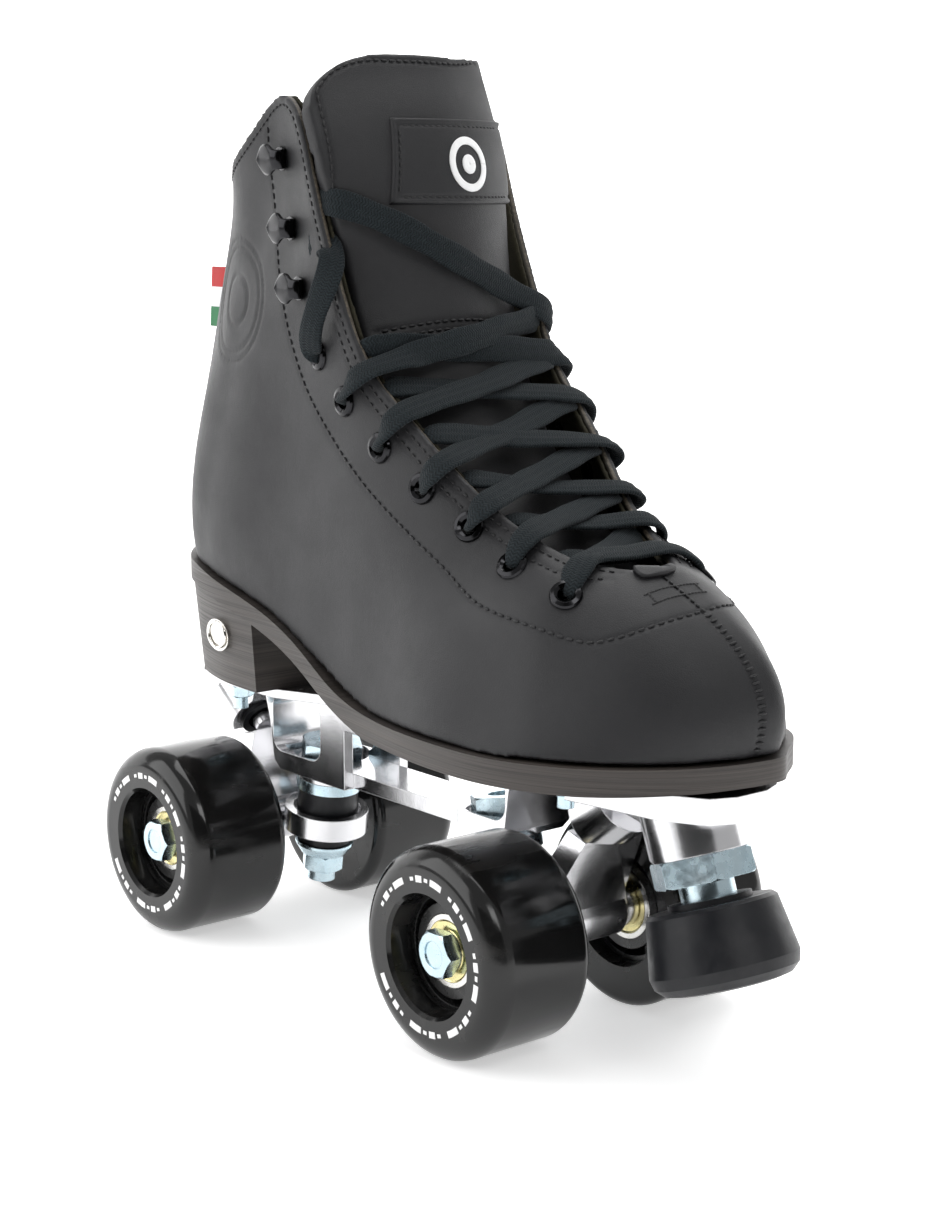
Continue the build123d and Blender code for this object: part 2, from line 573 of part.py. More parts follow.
def build_truck(end, place):
    save(f"truck_{end}", place(truck()))
    axle = Pos(WHEELBASE / 2, 0, WHEEL_R) * Rot(90, 0, 0) * Cylinder(AXLE_R, 2 * AXLE_HALF)
    save(f"axle_{end}", place(axle))
    outer = BEARINGS[1] + BEARING_WIDTH
    rings, spacers, nuts = [], [], []
    for side in (-1, 1):
        rings += [across(inner_ring(low), side) for low in BEARINGS]
        spacers += [across(disc(5.6, BEARINGS[0] + BEARING_WIDTH + 0.02, BEARINGS[1] - 0.02, 4.05), side),
                    across(disc(5.8, outer + 0.02, outer + 0.8, 4.05), side)]
        nuts.append(across(hex_nut(12.7, outer + 0.82, outer + 5.5, AXLE_R + 0.02), side))
    save(f"bearing_inner_rings_{end}", *[place(piece) for piece in rings])
    save(f"axle_spacers_{end}", *[place(piece) for piece in spacers])
    save(f"axle_nuts_{end}", *[place(piece) for piece in nuts])


def build_wheel(name, side, place):
    wheel = {"tyre": [tyre()], "hub": [hub()],
             "bearing_outer_rings": [outer_ring(low) for low in BEARINGS],
             "bearing_shields": [piece for low in BEARINGS for piece in shields(low)],
             "bearing_balls": [piece for low in BEARINGS for piece in ball_set(low)]}
    for node, pieces in wheel.items():
        save(f"{node}_{name}", *[place(across(piece, side)) for piece in pieces])


def build_toe_stop():
    save("toe_stop_rubber", toe_stop_rubber())
    save("toe_stop_stem", STOP * disc(STEM_R, -STOP_TOP - 13.5, 17))
    save("toe_stop_nut", STOP * hex_nut(26, -NUT_HALF, NUT_HALF, STEM_R + 0.05))
    save("toe_stop_washer", STOP * disc(12, -STOP_TOP + 0.05, -STOP_TOP + 1.6, STEM_R + 0.02))


build_boot()
build_plate()
for end, place in (("front", lambda shape: shape), ("rear", rear)):
    build_truck(end, place)
    for hand, side in (("right", -1), ("left", 1)):
        build_wheel(f"{end}_{hand}", side, place)
build_toe_stop()
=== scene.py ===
"""Looks of the quad roller skate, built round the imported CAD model.

Metres, in the part's own frame. at() takes millimetres about the middle of the wheelbase on the ground, which is
how the boot's details are laid out.
"""
import math
import random

import bmesh
import bpy
import numpy as np
from mathutils import Matrix, Vector
from mathutils.bvhtree import BVHTree
from mathutils.geometry import intersect_point_line
from mathutils.kdtree import KDTree


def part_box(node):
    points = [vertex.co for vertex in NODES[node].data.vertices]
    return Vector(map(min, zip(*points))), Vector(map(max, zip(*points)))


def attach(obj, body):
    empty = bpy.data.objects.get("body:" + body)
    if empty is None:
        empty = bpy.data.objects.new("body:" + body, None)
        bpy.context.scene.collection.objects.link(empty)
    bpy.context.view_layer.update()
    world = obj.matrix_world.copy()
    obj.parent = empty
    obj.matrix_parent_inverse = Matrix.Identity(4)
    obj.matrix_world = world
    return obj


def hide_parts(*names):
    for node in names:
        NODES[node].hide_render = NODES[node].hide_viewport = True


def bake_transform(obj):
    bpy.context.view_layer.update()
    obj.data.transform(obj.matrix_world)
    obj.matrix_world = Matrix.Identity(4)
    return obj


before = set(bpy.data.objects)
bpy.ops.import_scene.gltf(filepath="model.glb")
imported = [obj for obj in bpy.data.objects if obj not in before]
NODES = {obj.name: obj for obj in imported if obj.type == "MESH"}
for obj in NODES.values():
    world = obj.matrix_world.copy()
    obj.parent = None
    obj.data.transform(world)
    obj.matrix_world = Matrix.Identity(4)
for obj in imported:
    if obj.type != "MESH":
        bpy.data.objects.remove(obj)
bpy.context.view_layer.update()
MM = 0.001
KING_LEAN = math.radians(8.5)        # the kingpins lean from vertical, away from the wheels
ENDS, HANDS = ("front", "rear"), ("right", "left")


def middle(node):
    low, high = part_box(node)
    return (Vector(low) + Vector(high)) / 2


MID_X = (middle("axle_front").x + middle("axle_rear").x) / 2


def at(x, y, z):
    """Point in the frame from millimetres about the middle of the wheelbase."""
    return Vector((MID_X + x * MM, y * MM, z * MM))


# ---------------------------------------------------------------- camera
def make_camera(place, azimuth, pitch, lens):
    data = bpy.data.cameras.new("camera")
    data.lens = lens
    data.clip_start = 0.01
    camera = bpy.data.objects.new("camera", data)
    bpy.context.scene.collection.objects.link(camera)
    camera.location = place
    camera.rotation_euler = (math.radians(90 + pitch), 0, math.radians(azimuth - 90))
    bpy.context.scene.camera = camera


CAMERA_AZIMUTH = 140.44
make_camera((0.5317, -0.4348, 0.2442), CAMERA_AZIMUTH, pitch=-10.38, lens=66.92)


# ---------------------------------------------------------------- materials
class Look:
    """A procedural material, built up from its principled shader."""

    def __init__(self, name, color, roughness, metallic=0.0, **sockets):
        self.material = bpy.data.materials.new(name)
        self.material.use_nodes = True
        self.tree = self.material.node_tree
        self.shader = self.tree.nodes["Principled BSDF"]
        self.shader.inputs["Base Color"].default_value = (*color, 1)
        self.shader.inputs["Roughness"].default_value = roughness
        self.shader.inputs["Metallic"].default_value = metallic
        for socket, value in sockets.items():
            self.shader.inputs[socket.replace("_", " ")].default_value = value
        self.normal = None

    def node(self, kind, settings=(), **inputs):
        made = self.tree.nodes.new("ShaderNode" + kind)
        for key, value in dict(settings).items():
            setattr(made, key, value)
        for key, value in inputs.items():
            socket = made.inputs[key.replace("_", " ")]
            if isinstance(value, bpy.types.NodeSocket):
                self.tree.links.new(value, socket)
            else:
                socket.default_value = value
        return made

    def place(self, stretch=(1, 1, 1), source="Object"):
        coordinates = self.node("TexCoord").outputs[source]
        return self.node("Mapping", Vector=coordinates, Scale=stretch).outputs["Vector"]

    def noise(self, scale, detail=3.0, stretch=(1, 1, 1)):
        return self.node("TexNoise", Vector=self.place(stretch), Scale=scale, Detail=detail).outputs["Fac"]

    def cells(self, scale, stretch=(1, 1, 1)):
        settings = {"feature": "DISTANCE_TO_EDGE"}
        return self.node("TexVoronoi", settings, Vector=self.place(stretch), Scale=scale).outputs["Distance"]

    def spread(self, value, low, high, out_low=0.0, out_high=1.0):
        """value taken from one range to another, and held at its ends."""
        made = self.node("MapRange")
        self.tree.links.new(value, made.inputs["Value"])
        for key, number in zip(("From Min", "From Max", "To Min", "To Max"), (low, high, out_low, out_high)):
            made.inputs[key].default_value = number
        return made.outputs["Result"]

    def maths(self, operation, a, b=0.0):
        made = self.node("Math", {"operation": operation})
        for socket, value in zip(made.inputs, (a, b)):
            if isinstance(value, bpy.types.NodeSocket):
                self.tree.links.new(value, socket)
            else:
                socket.default_value = value
        return made.outputs[0]

    def mixed(self, amount, first, second):
        made = self.node("Mix", {"data_type": "RGBA"})
        self.tree.links.new(amount, made.inputs[0])
        for socket, value in ((made.inputs[6], first), (made.inputs[7], second)):
            if isinstance(value, bpy.types.NodeSocket):
                self.tree.links.new(value, socket)
            else:
                socket.default_value = (*value, 1)
        return made.outputs[2]

    def paint(self, color):
        self.tree.links.new(color, self.shader.inputs["Base Color"])
        return self

    def rough(self, value):
        self.tree.links.new(value, self.shader.inputs["Roughness"])
        return self

    def rounded(self, radius):
        """Softens the look of machined edges."""
        self.normal = self.node("Bevel", {"samples": 4}, Radius=radius).outputs["Normal"]
        self.tree.links.new(self.normal, self.shader.inputs["Normal"])
        return self

    def bump(self, height, distance, strength=1.0):
        made = self.node("Bump", Height=height, Distance=distance, Strength=strength)
        if self.normal:
            self.tree.links.new(self.normal, made.inputs["Normal"])
        self.normal = made.outputs["Normal"]
        self.tree.links.new(self.normal, self.shader.inputs["Normal"])
        return self


BLACK_LEATHER, CUT_LEATHER, FLESH_LEATHER = (0.013, 0.013, 0.0145), (0.105, 0.088, 0.066), (0.022, 0.019, 0.013)


def leather(name, cut_edges=False):
    """Matt black grained leather; cut edges show the undyed middle of the hide."""
    look = Look(name, BLACK_LEATHER, 0.5, Specular_IOR_Level=0.34)
    cloud = look.noise(28, 4)
    worn = look.mixed(look.spread(cloud, 0.35, 0.7), BLACK_LEATHER, (0.0165, 0.0165, 0.018))
    if cut_edges:
        depth = look.node("Attribute", {"attribute_name": "depth"}).outputs["Fac"]
        fibre = look.mixed(look.spread(look.noise(1400, 4), 0.4, 0.6), CUT_LEATHER, (0.05, 0.042, 0.033))
        inner = look.mixed(look.spread(depth, 0.7, 1.1), FLESH_LEATHER, fibre)
        worn = look.mixed(look.spread(depth, 1.7, 2.0), inner, worn)
    look.paint(worn)
    look.rough(look.spread(look.noise(60, 4), 0.3, 0.7, 0.43, 0.54))
    look.bump(look.spread(look.cells(1500), 0.0, 0.12), 0.00005, 0.55)
    look.bump(look.noise(520, 4), 0.00012, 0.35)
    return look.material


def lining(name):
    look = Look(name, FLESH_LEATHER, 0.85, Specular_IOR_Level=0.2)
    look.paint(look.mixed(look.noise(160, 5), (0.014, 0.013, 0.008), (0.038, 0.034, 0.021)))
    look.bump(look.noise(2200, 3), 0.0002, 0.6)
    return look.material


def stacked_leather(name):
    """Thin layers of sole leather, stained and burnished, so their edges show as fine lines."""
    look = Look(name, (0.075, 0.06, 0.052), 0.5)
    layers = look.noise(30, 4, (0.35, 0.35, 34))
    fine = look.noise(60, 4, (0.3, 0.3, 48))
    tone = look.mixed(look.spread(layers, 0.3, 0.7), (0.026, 0.0215, 0.019), (0.050, 0.0415, 0.0365))
    look.paint(look.mixed(look.spread(fine, 0.52, 0.75), tone, (0.012, 0.0098, 0.0085)))
    look.rough(look.spread(fine, 0.3, 0.7, 0.42, 0.6))
    look.bump(layers, 0.0002, 0.4)
    look.bump(fine, 0.0002, 0.4)
    return look.material


def woven_lace(name):
    """Flat tubular cotton lace: fine chevrons along its length, their grooves darkened with painted shade. Its UV is
    metres along and across.
    """
    look = Look(name, (0.008, 0.011, 0.013), 0.9, Specular_IOR_Level=0.2, Sheen_Weight=0.05, Sheen_Roughness=0.4)
    across = look.node("SeparateXYZ", Vector=look.place(source="UV"))
    slant = look.maths("ABSOLUTE", look.maths("SUBTRACT", look.maths("FRACT", look.maths(
        "MULTIPLY", across.outputs["Y"], 420)), 0.5))
    phase = look.maths("ADD", look.maths("MULTIPLY", across.outputs["X"], 1100), look.maths("MULTIPLY", slant, 1.6))
    plait = look.maths("ABSOLUTE", look.maths("SINE", look.maths("MULTIPLY", phase, math.pi)))
    fuzz = look.noise(2600, 4)
    # the chevron pattern with painted shade: the colour follows the weave's relief, darkest in its grooves where the
    # bump is lowest
    tone = look.mixed(plait, (0.0035, 0.005, 0.006), (0.013, 0.018, 0.021))
    look.paint(look.mixed(look.spread(fuzz, 0.5, 0.8), tone, (0.026, 0.033, 0.036)))
    look.bump(plait, 0.00022, 0.8)
    look.bump(fuzz, 0.0002, 0.5)
    return look.material


def alloy(name):
    """Cast aluminium, polished by hand: bright, with slight waves and fine scratches."""
    look = Look(name, (0.83, 0.83, 0.84), 0.2, metallic=1.0).rounded(0.0005)
    look.rough(look.spread(look.noise(35, 5), 0.3, 0.75, 0.10, 0.30))
    look.paint(look.mixed(look.noise(22, 4), (0.62, 0.62, 0.64), (0.80, 0.80, 0.81)))
    look.bump(look.noise(70, 2), 0.0007, 0.25)
    look.bump(look.noise(900, 2, (1, 0.08, 1)), 0.00005, 0.3)
    return look.material


def zinc(name):
    """Bright zinc plating with a blue tinge."""
    look = Look(name, (0.62, 0.73, 0.78), 0.24, metallic=1.0).rounded(0.0003)
    look.paint(look.mixed(look.noise(120, 3), (0.40, 0.56, 0.64), (0.66, 0.76, 0.80)))
    look.rough(look.spread(look.noise(300, 4), 0.3, 0.7, 0.17, 0.34))
    look.bump(look.noise(500, 3), 0.00008, 0.25)
    return look.material


def urethane(name):
    """Glossy black wheel tyre with the faint scuffs of the first metres rolled."""
    look = Look(name, (0.006, 0.006, 0.006), 0.16, Specular_IOR_Level=0.4)
    scuff = look.noise(90, 6, (1, 0.25, 1))
    look.rough(look.spread(scuff, 0.5, 0.72, 0.13, 0.42))
    look.paint(look.mixed(look.spread(scuff, 0.56, 0.75), (0.006, 0.006, 0.006), (0.02, 0.019, 0.018)))
    look.bump(look.noise(45, 2), 0.0003, 0.12)
    return look.material


def nylon(name):
    look = Look(name, (0.012, 0.012, 0.012), 0.28).rounded(0.0003)
    look.rough(look.spread(look.noise(200, 3), 0.3, 0.7, 0.2, 0.36))
    look.bump(look.noise(800, 2), 0.00004, 0.3)
    return look.material


def bright_steel(name, color, roughness):
    look = Look(name, color, roughness, metallic=1.0).rounded(0.0002)
    darker = tuple(c * 0.82 for c in color)
    look.paint(look.mixed(look.noise(240, 3), darker, color))
    look.rough(look.spread(look.noise(420, 3), 0.3, 0.7, roughness * 0.7, roughness * 1.4))
    return look.material


def rubber(name):
    """Satin black rubber with a little bloom and dust."""
    look = Look(name, (0.012, 0.0125, 0.0145), 0.4, Specular_IOR_Level=0.3)
    bloom = look.spread(look.noise(70, 6), 0.45, 0.75)
    look.paint(look.mixed(bloom, (0.008, 0.0085, 0.0105), (0.02, 0.02, 0.022)))
    look.rough(look.spread(look.noise(160, 5), 0.3, 0.7, 0.3, 0.5))
    look.bump(look.noise(900, 3), 0.00006, 0.4)
    return look.material


def thread(name):
    look = Look(name, (0.006, 0.006, 0.007), 0.6)
    look.paint(look.mixed(look.noise(3000, 2), (0.004, 0.004, 0.005), (0.014, 0.014, 0.015)))
    look.bump(look.noise(5000, 2), 0.00005, 0.5)
    return look.material


def print_ink(name):
    look = Look(name, (0.85, 0.85, 0.85), 0.45)
    look.paint(look.mixed(look.noise(400, 4), (0.78, 0.78, 0.78), (0.9, 0.9, 0.9)))
    return look.material


def ribbon(name, low, high):
    """Woven ribbon in three bands between two heights: green, white and red."""
    look = Look(name, (0.8, 0.8, 0.8), 0.7, Sheen_Weight=0.2)
    height = look.node("SeparateXYZ", Vector=look.place()).outputs["Z"]
    step = (high - low) / 3
    lower = look.maths("GREATER_THAN", height, low + step)
    upper = look.maths("GREATER_THAN", height, low + 2 * step)
    bands = look.mixed(upper, look.mixed(lower, (0.004, 0.15, 0.045), (0.75, 0.76, 0.78)), (0.42, 0.003, 0.003))
    look.paint(bands)
    look.bump(look.node("TexWave", Vector=look.place(), Scale=600.0).outputs["Fac"], 0.00008, 0.6)
    return look.material


LEATHER = leather("black_leather", cut_edges=True)
TRIM_LEATHER = leather("black_trim_leather")
LINING = lining("lining_leather")
SOLE = stacked_leather("stacked_leather")
LACE = woven_lace("woven_lace")
ALLOY = alloy("polished_alloy")
ZINC = zinc("zinc_plate")
TYRE = urethane("wheel_urethane")
NYLON = nylon("hub_nylon")
STEEL = bright_steel("ground_steel", (0.78, 0.77, 0.74), 0.2)
BRASS = bright_steel("passivated_steel", (0.80, 0.71, 0.36), 0.22)
CHROME = bright_steel("chrome", (0.88, 0.86, 0.82), 0.12)
GUNMETAL = bright_steel("gunmetal", (0.028, 0.028, 0.03), 0.14)
RUBBER = rubber("satin_rubber")
THREAD = thread("waxed_thread")
INK = print_ink("white_print")

CAD_LOOKS = [
    (SOLE, "outsole heel_block"), (GUNMETAL, "eyelets lace_hooks"), (CHROME, "heel_badge"), (LINING, "insole"),
    (ALLOY, "plate truck_front truck_rear"), (RUBBER, "cushions_front cushions_rear pivot_cups toe_stop_rubber"),
    (ZINC, "mounting_bolts mounting_nuts kingpins kingpin_lock_nuts cushion_retainers_upper "
           "cushion_retainers_lower action_nuts toe_stop_nut toe_stop_stem axle_front axle_rear axle_nuts_front "
           "axle_nuts_rear axle_spacers_front axle_spacers_rear"),
    (RUBBER, "toe_stop_washer"), (STEEL, "bearing_inner_rings_front bearing_inner_rings_rear"),
]


def dress(node, material):
    piece = NODES[node]
    if not piece.material_slots:
        piece.data.materials.append(material)
    for place in piece.material_slots:
        place.material = material


for look, names in CAD_LOOKS:
    for node in names.split():
        dress(node, look)
for end in ENDS:
    for hand in HANDS:
        for look, node in ((TYRE, "tyre"), (NYLON, "hub"), (STEEL, "bearing_outer_rings"), (BRASS, "bearing_shields"),
                           (STEEL, "bearing_balls")):
            dress(f"{node}_{end}_{hand}", look)


# ---------------------------------------------------------------- mesh helpers
def link(name, mesh, material, body="skate"):
    mesh.materials.clear()
    mesh.materials.append(material)
    mesh.shade_smooth()
    piece = bpy.data.objects.new(name, mesh)
    bpy.context.scene.collection.objects.link(piece)
    if body:
        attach(piece, body)
    return piece


def make_piece(name, verts, faces, material, body="skate"):
    mesh = bpy.data.meshes.new(name)
    mesh.from_pydata([tuple(v) for v in verts], [], faces)
    return link(name, mesh, material, body)


def skin_of(nodes, name, voxel, material, smoothing=6):
    """Finely remeshed copy of one or more soft solids, with cut edges rounded and touching solids made one."""
    whole = bmesh.new()
    for node in nodes:
        whole.from_mesh(NODES[node].data)
    mesh = bpy.data.meshes.new("source")
    whole.to_mesh(mesh)
    whole.free()
    source = bpy.data.objects.new("source", mesh)
    bpy.context.scene.collection.objects.link(source)
    source.modifiers.new("weld", "WELD").merge_threshold = 1e-6
    grid = source.modifiers.new("grid", "REMESH")
    grid.mode = "VOXEL"
    grid.voxel_size = voxel
    smooth = source.modifiers.new("smooth", "SMOOTH")
    smooth.factor = 0.5
    smooth.iterations = smoothing
    bpy.context.view_layer.update()
    mesh = bpy.data.meshes.new_from_object(source.evaluated_get(bpy.context.evaluated_depsgraph_get()))
    bpy.data.objects.remove(source)
    piece = link(name, mesh, material)
    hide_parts(*nodes)
    return piece


def points_of(piece):
    flat = np.empty(len(piece.data.vertices) * 3)
    piece.data.vertices.foreach_get("co", flat)
    return flat.reshape(-1, 3)


def normals_of(piece):
    flat = np.empty(len(piece.data.vertices) * 3)
    piece.data.vertex_normals.foreach_get("vector", flat)
    return flat.reshape(-1, 3)


def set_points(piece, points):
    piece.data.vertices.foreach_set("co", points.ravel())
    piece.data.update()


def tree_of(*pieces):
    """Search tree over the faces of several meshes."""
    verts, faces = [], []
    for piece in pieces:
        start = len(verts)
        verts += [v.co.copy() for v in piece.data.vertices]
        faces += [[start + i for i in face.vertices] for face in piece.data.polygons]
    return BVHTree.FromPolygons(verts, faces)


def press(piece, line, depth, width):
    """Sinks the surface along a row of points, or raises it where depth is negative."""
    line = [Vector(p) for p in line]
    tree = KDTree(len(line))
    for i, point in enumerate(line):
        tree.insert(point, i)
    tree.balance()
    points, normals = points_of(piece), normals_of(piece)
    row = np.array(line)
    reach = 2.5 * width
    near = np.all((points > row.min(0) - reach) & (points < row.max(0) + reach), axis=1)
    for i in np.nonzero(near)[0]:
        gap = tree.find(Vector(points[i]))[2]
        if gap < reach:
            points[i] -= normals[i] * depth * math.exp(-(gap / width) ** 2)
    set_points(piece, points)


def curve_through(points, pitch):
    """Smooth line through some points, as evenly spaced points."""
    points = [Vector(p) for p in points]
    ends = [2 * points[0] - points[1], *points, 2 * points[-1] - points[-2]]
    dense = []
    for a, b, c, d in zip(ends, ends[1:], ends[2:], ends[3:]):
        for k in range(16):
            t = k / 16
            dense.append(0.5 * (2 * b + (c - a) * t + (2 * a - 5 * b + 4 * c - d) * t * t
                                + (3 * b - a - 3 * c + d) * t ** 3))
    dense.append(points[-1])
    return evenly(dense, pitch)


def evenly(points, pitch):
    """The same line with points at an even pitch."""
    lengths = [0.0]
    for a, b in zip(points, points[1:]):
        lengths.append(lengths[-1] + (b - a).length)
    count = max(2, round(lengths[-1] / pitch))
    wanted = np.linspace(0, lengths[-1], count + 1)
    columns = [np.interp(wanted, lengths, [p[k] for p in points]) for k in range(3)]
    return [Vector(p) for p in zip(*columns)]


SPINE = [at(-40, 0, 290), at(-45, 0, 140), at(98, 0, 106)]      # runs down the leg and along the foot


def outward(point):
    """Direction from the middle of the leg or foot to a point of the boot."""
    nearest = None
    for a, b in zip(SPINE, SPINE[1:]):
        spot, t = intersect_point_line(point, a, b)
        spot = a.lerp(b, min(1.0, max(0.0, t)))
        if nearest is None or (point - spot).length < (point - nearest).length:
            nearest = spot
    return (point - nearest).normalized()


def onto(tree, point):
    """Nearest place on the outside of a skin, and the skin's outward normal there."""
    out = outward(point)
    spot, normal = tree.find_nearest(point)[:2]
    if normal.dot(out) < 0:
        spot, normal = tree.find_nearest(spot - normal * (4 * MM))[:2]
    return spot, normal if normal.dot(out) > 0 else -normal


def capsule(middle_point, along, up, length, radius):
    """A thread's stitch: a short rod with round ends."""
    side = along.cross(up).normalized()
    rings = ((-0.5, 0.15), (-0.42, 0.75), (-0.2, 1.0), (0.2, 1.0), (0.42, 0.75), (0.5, 0.15))
    verts, faces = [], []
    for reach, size in rings:
        for k in range(6):
            turn = math.tau * k / 6
            offset = side * math.cos(turn) + up * math.sin(turn)
            verts.append(middle_point + along * (reach * length) + offset * (radius * size))
    for r in range(len(rings) - 1):
        for k in range(6):
            a, b = r * 6 + k, r * 6 + (k + 1) % 6
            faces.append((a, b, b + 6, a + 6))
    faces.append(tuple(range(5, -1, -1)))
    faces.append(tuple(range(30, 36)))
    return verts, faces


class Sewing:
    """Collects stitches into one mesh."""

    def __init__(self):
        self.verts, self.faces = [], []

    def stitch(self, spot, along, up, length, radius):
        verts, faces = capsule(spot, along.normalized(), up, length, radius)
        start = len(self.verts)
        self.verts += verts
        self.faces += [tuple(start + i for i in face) for face in faces]

    def row(self, tree, line, length=1.7 * MM, radius=0.33 * MM, across=False):
        """One stitch at each point of a line, along it or across it. Gives the places on the skin."""
        spots = [onto(tree, point) for point in line]
        for (before, _), (spot, normal), (after, _) in zip(spots, spots[1:], spots[2:]):
            along = (after - before).normalized()
            if across:
                along = along.cross(normal).normalized()
            self.stitch(spot - normal * (0.15 * radius), along, normal, length, radius)
        return [spot for spot, _ in spots]

    def finish(self, name):
        return make_piece(name, self.verts, self.faces, THREAD)


# ---------------------------------------------------------------- boot upper
EYELETS = [(1.5, 196.6), (15.5, 183.8), (32, 171.4), (49.3, 161), (65.5, 151.4), (82.5, 142.3), (102.5, 136.3)]
QUARTER_TOP = (-27, 266)                        # x, z where the quarter seam meets the topline
QUARTER_GAP, QUARTER_END_GAP = 13.5, 9          # how far it runs outside the hooks and eyelets; at both ends
SWEEP_X, SWEEP_LONG, SWEEP_WIDE = 96, 33, 34.5  # seen from above it rounds the toe in a quarter of an ellipse
INNER_NARROWING = 0.86                          # the inner side of the forefoot against the outer side
TOE_X, TOE_Z = 112, 100                         # middle that the toe's profile is struck about
TOE_SEAM_START, TOE_SEAM_DRIFT = -3, 5.5        # y at the throat, and how far it drifts inwards by the sole
TACK_X, TACK_Y, TACK_LONG, TACK_WIDE, TACK_SLANT = 120.5, -3, 16.6, 3.4, 0.6
HOOKS = [(-21, 254.8), (-16, 233.9), (-10, 216)]
TOP_RISE = 3.2 * MM
HOOK_PATH = [(-3.6, 0.5, 0.5), (-3.2, 0.5, 1.9), (-2.2, 0.5, 3), (-0.5, 0.5, 3.6), (1.5, 0.5, 3.5), (3.1, 0.7, 3.1),
             (4.5, 1.5, 2.9), (5, 2.7, 2.9), (4.5, 3.9, 2.9), (3.1, 4.7, 3), (1.9, 4.9, 3.5), (0.3, 5, 4.4),
             (-1.3, 5.1, 4.7), (-3, 5.2, 4.45), (-4.3, 5.3, 3.8), (-5.3, 5.5, 2.75), (-5.8, 5.6, 1.8),
             (-6.1, 5.65, 0.4)]     # forward, outward, half width


def raised(z):
    """The facings' tops stand a little higher than the plain solids they are made from."""
    share = np.clip((z - 0.245) / 0.03, 0, 1)
    return z + TOP_RISE * share * share * (3 - 2 * share)


def raise_top(piece):
    points = points_of(piece)
    points[:, 2] = raised(points[:, 2])
    set_points(piece, points)


def wall_spot(tree, x, z, side):
    """Place and outward normal where a line across the skate meets the outside of the wall."""
    start = at(x, side * 90, z)
    spot, normal = tree.ray_cast(start, Vector((0, -side, 0)))[:2]
    return spot, normal if normal.y * side > 0 else -normal


def eyelet_seat(tree, x, z, side):
    """Middle of an eyelet's hole on the outside of the wall, from four places round it, and the normal there."""
    ring = [wall_spot(tree, x + dx, z + dz, side) for dx, dz in ((4.5, 0), (-4.5, 0), (0, 4.5), (0, -4.5))]
    return sum((spot for spot, _ in ring), Vector()) / 4, sum((normal for _, normal in ring), Vector()).normalized()


def mark_depth(piece, lining_tree):
    """Stores how far each point is from the lining, in millimetres, so that cut edges can be coloured."""
    layer = piece.data.attributes.new("depth", "FLOAT", "POINT")
    depths = [lining_tree.find_nearest(v.co)[3] / MM for v in piece.data.vertices]
    layer.data.foreach_set("value", depths)


def rim_line(node, side, lining_tree):
    """Outer edge of the facing and the topline, from the throat to the back."""
    mesh = bmesh.new()
    mesh.from_mesh(NODES[node].data)
    bmesh.ops.remove_doubles(mesh, verts=mesh.verts, dist=1e-5)
    holes = [at(x, 0, z) for x, z in EYELETS]
    sharp = set()
    for edge in mesh.edges:
        if len(edge.link_faces) == 2 and edge.calc_face_angle() > 0.7:
            sharp.update(edge.verts)
    left = []
    for vert in sharp:
        point = vert.co.copy()
        flat = Vector((point.x, 0, point.z))
        clear = all((flat - hole).length > 4.5 * MM for hole in holes)
        if clear and point.z > 0.135 and abs(point.y) > 3.5 * MM and lining_tree.find_nearest(point)[3] > 2.4 * MM:
            left.append(point)
    mesh.free()
    line = [max(left, key=lambda p: p.x)]
    left.remove(line[0])
    while left:
        nearest = min(left, key=lambda p: (p - line[-1]).length)
        left.remove(nearest)
        if (nearest - line[-1]).length > 14 * MM:
            break
        line.append(nearest)
    return evenly([Vector((p.x, p.y, raised(p.z))) for p in line], 2 * MM)


def inset(tree, line, distance, side):
    """A row on the wall at some distance inside its edge. The line runs from the throat up and to the back."""
    spots = []
    for before, point, after in zip(line, line[1:], line[2:]):
        run = Vector((after.x - before.x, 0, after.z - before.z)).normalized()
        inward = Vector((-run.z, 0, run.x)) * distance
        for _ in range(2):
            place = point + inward
            spot = tree.ray_cast(Vector((place.x, side * 0.09, place.z)), Vector((0, -side, 0)))[0]
            if spot is None:
                break
            inward = inward * (distance / max(distance * 0.5, (spot - point).length))
        if spot is not None:
            spots.append(spot)
    return spots


def ring_points(tree, centre, radius, side):
    spots = []
    for k in range(72):
        turn = math.tau * k / 72
        spots.append(wall_spot(tree, centre[0] + radius * math.cos(turn), centre[1] + radius * math.sin(turn), side)[0])
    return spots


def top_spot(tree, x, y):
    """Place on the boot straight below a point, or the nearest one where the point is beside the boot."""
    spot = tree.ray_cast(at(x, y, 200), Vector((0, 0, -1)))[0]
    return onto(tree, at(x, y, 125))[0] if spot is None else spot


def quarter_seam(tree, side):
    """Runs down outside the hooks and eyelets, then sweeps round the toe to its middle."""
    row = HOOKS + EYELETS
    spots = [wall_spot(tree, *QUARTER_TOP, side)[0]]
    for k, (x, z) in enumerate(row):
        before, after = row[max(k - 1, 0)], row[min(k + 1, len(row) - 1)]
        run = Vector((after[0] - before[0], after[1] - before[1])).normalized()
        middle_share = math.sqrt(math.sin(math.pi * k / (len(row) - 1)) + 1e-9)
        gap = QUARTER_END_GAP + (QUARTER_GAP - QUARTER_END_GAP) * middle_share
        spots.append(wall_spot(tree, x + run.y * gap, z - run.x * gap, side)[0])
    wide = SWEEP_WIDE * (INNER_NARROWING if side > 0 else 1)
    for degrees in (60, 45, 30, 15, 0):
        turn = math.radians(degrees)
        spots.append(top_spot(tree, SWEEP_X + SWEEP_LONG * math.cos(turn), side * wide * math.sin(turn)))
    return spots


def toe_seam(tree):
    """Runs over the middle of the toe, from the throat down to the sole."""
    spots = []
    for degrees in range(87, -10, -8):
        turn = math.radians(degrees)
        way = Vector((math.cos(turn), 0, math.sin(turn)))
        start = at(TOE_X, TOE_SEAM_START + TOE_SEAM_DRIFT * math.cos(turn), TOE_Z) + way * (100 * MM)
        spots.append(tree.ray_cast(start, -way)[0])
    return [spot for spot in spots if spot is not None]


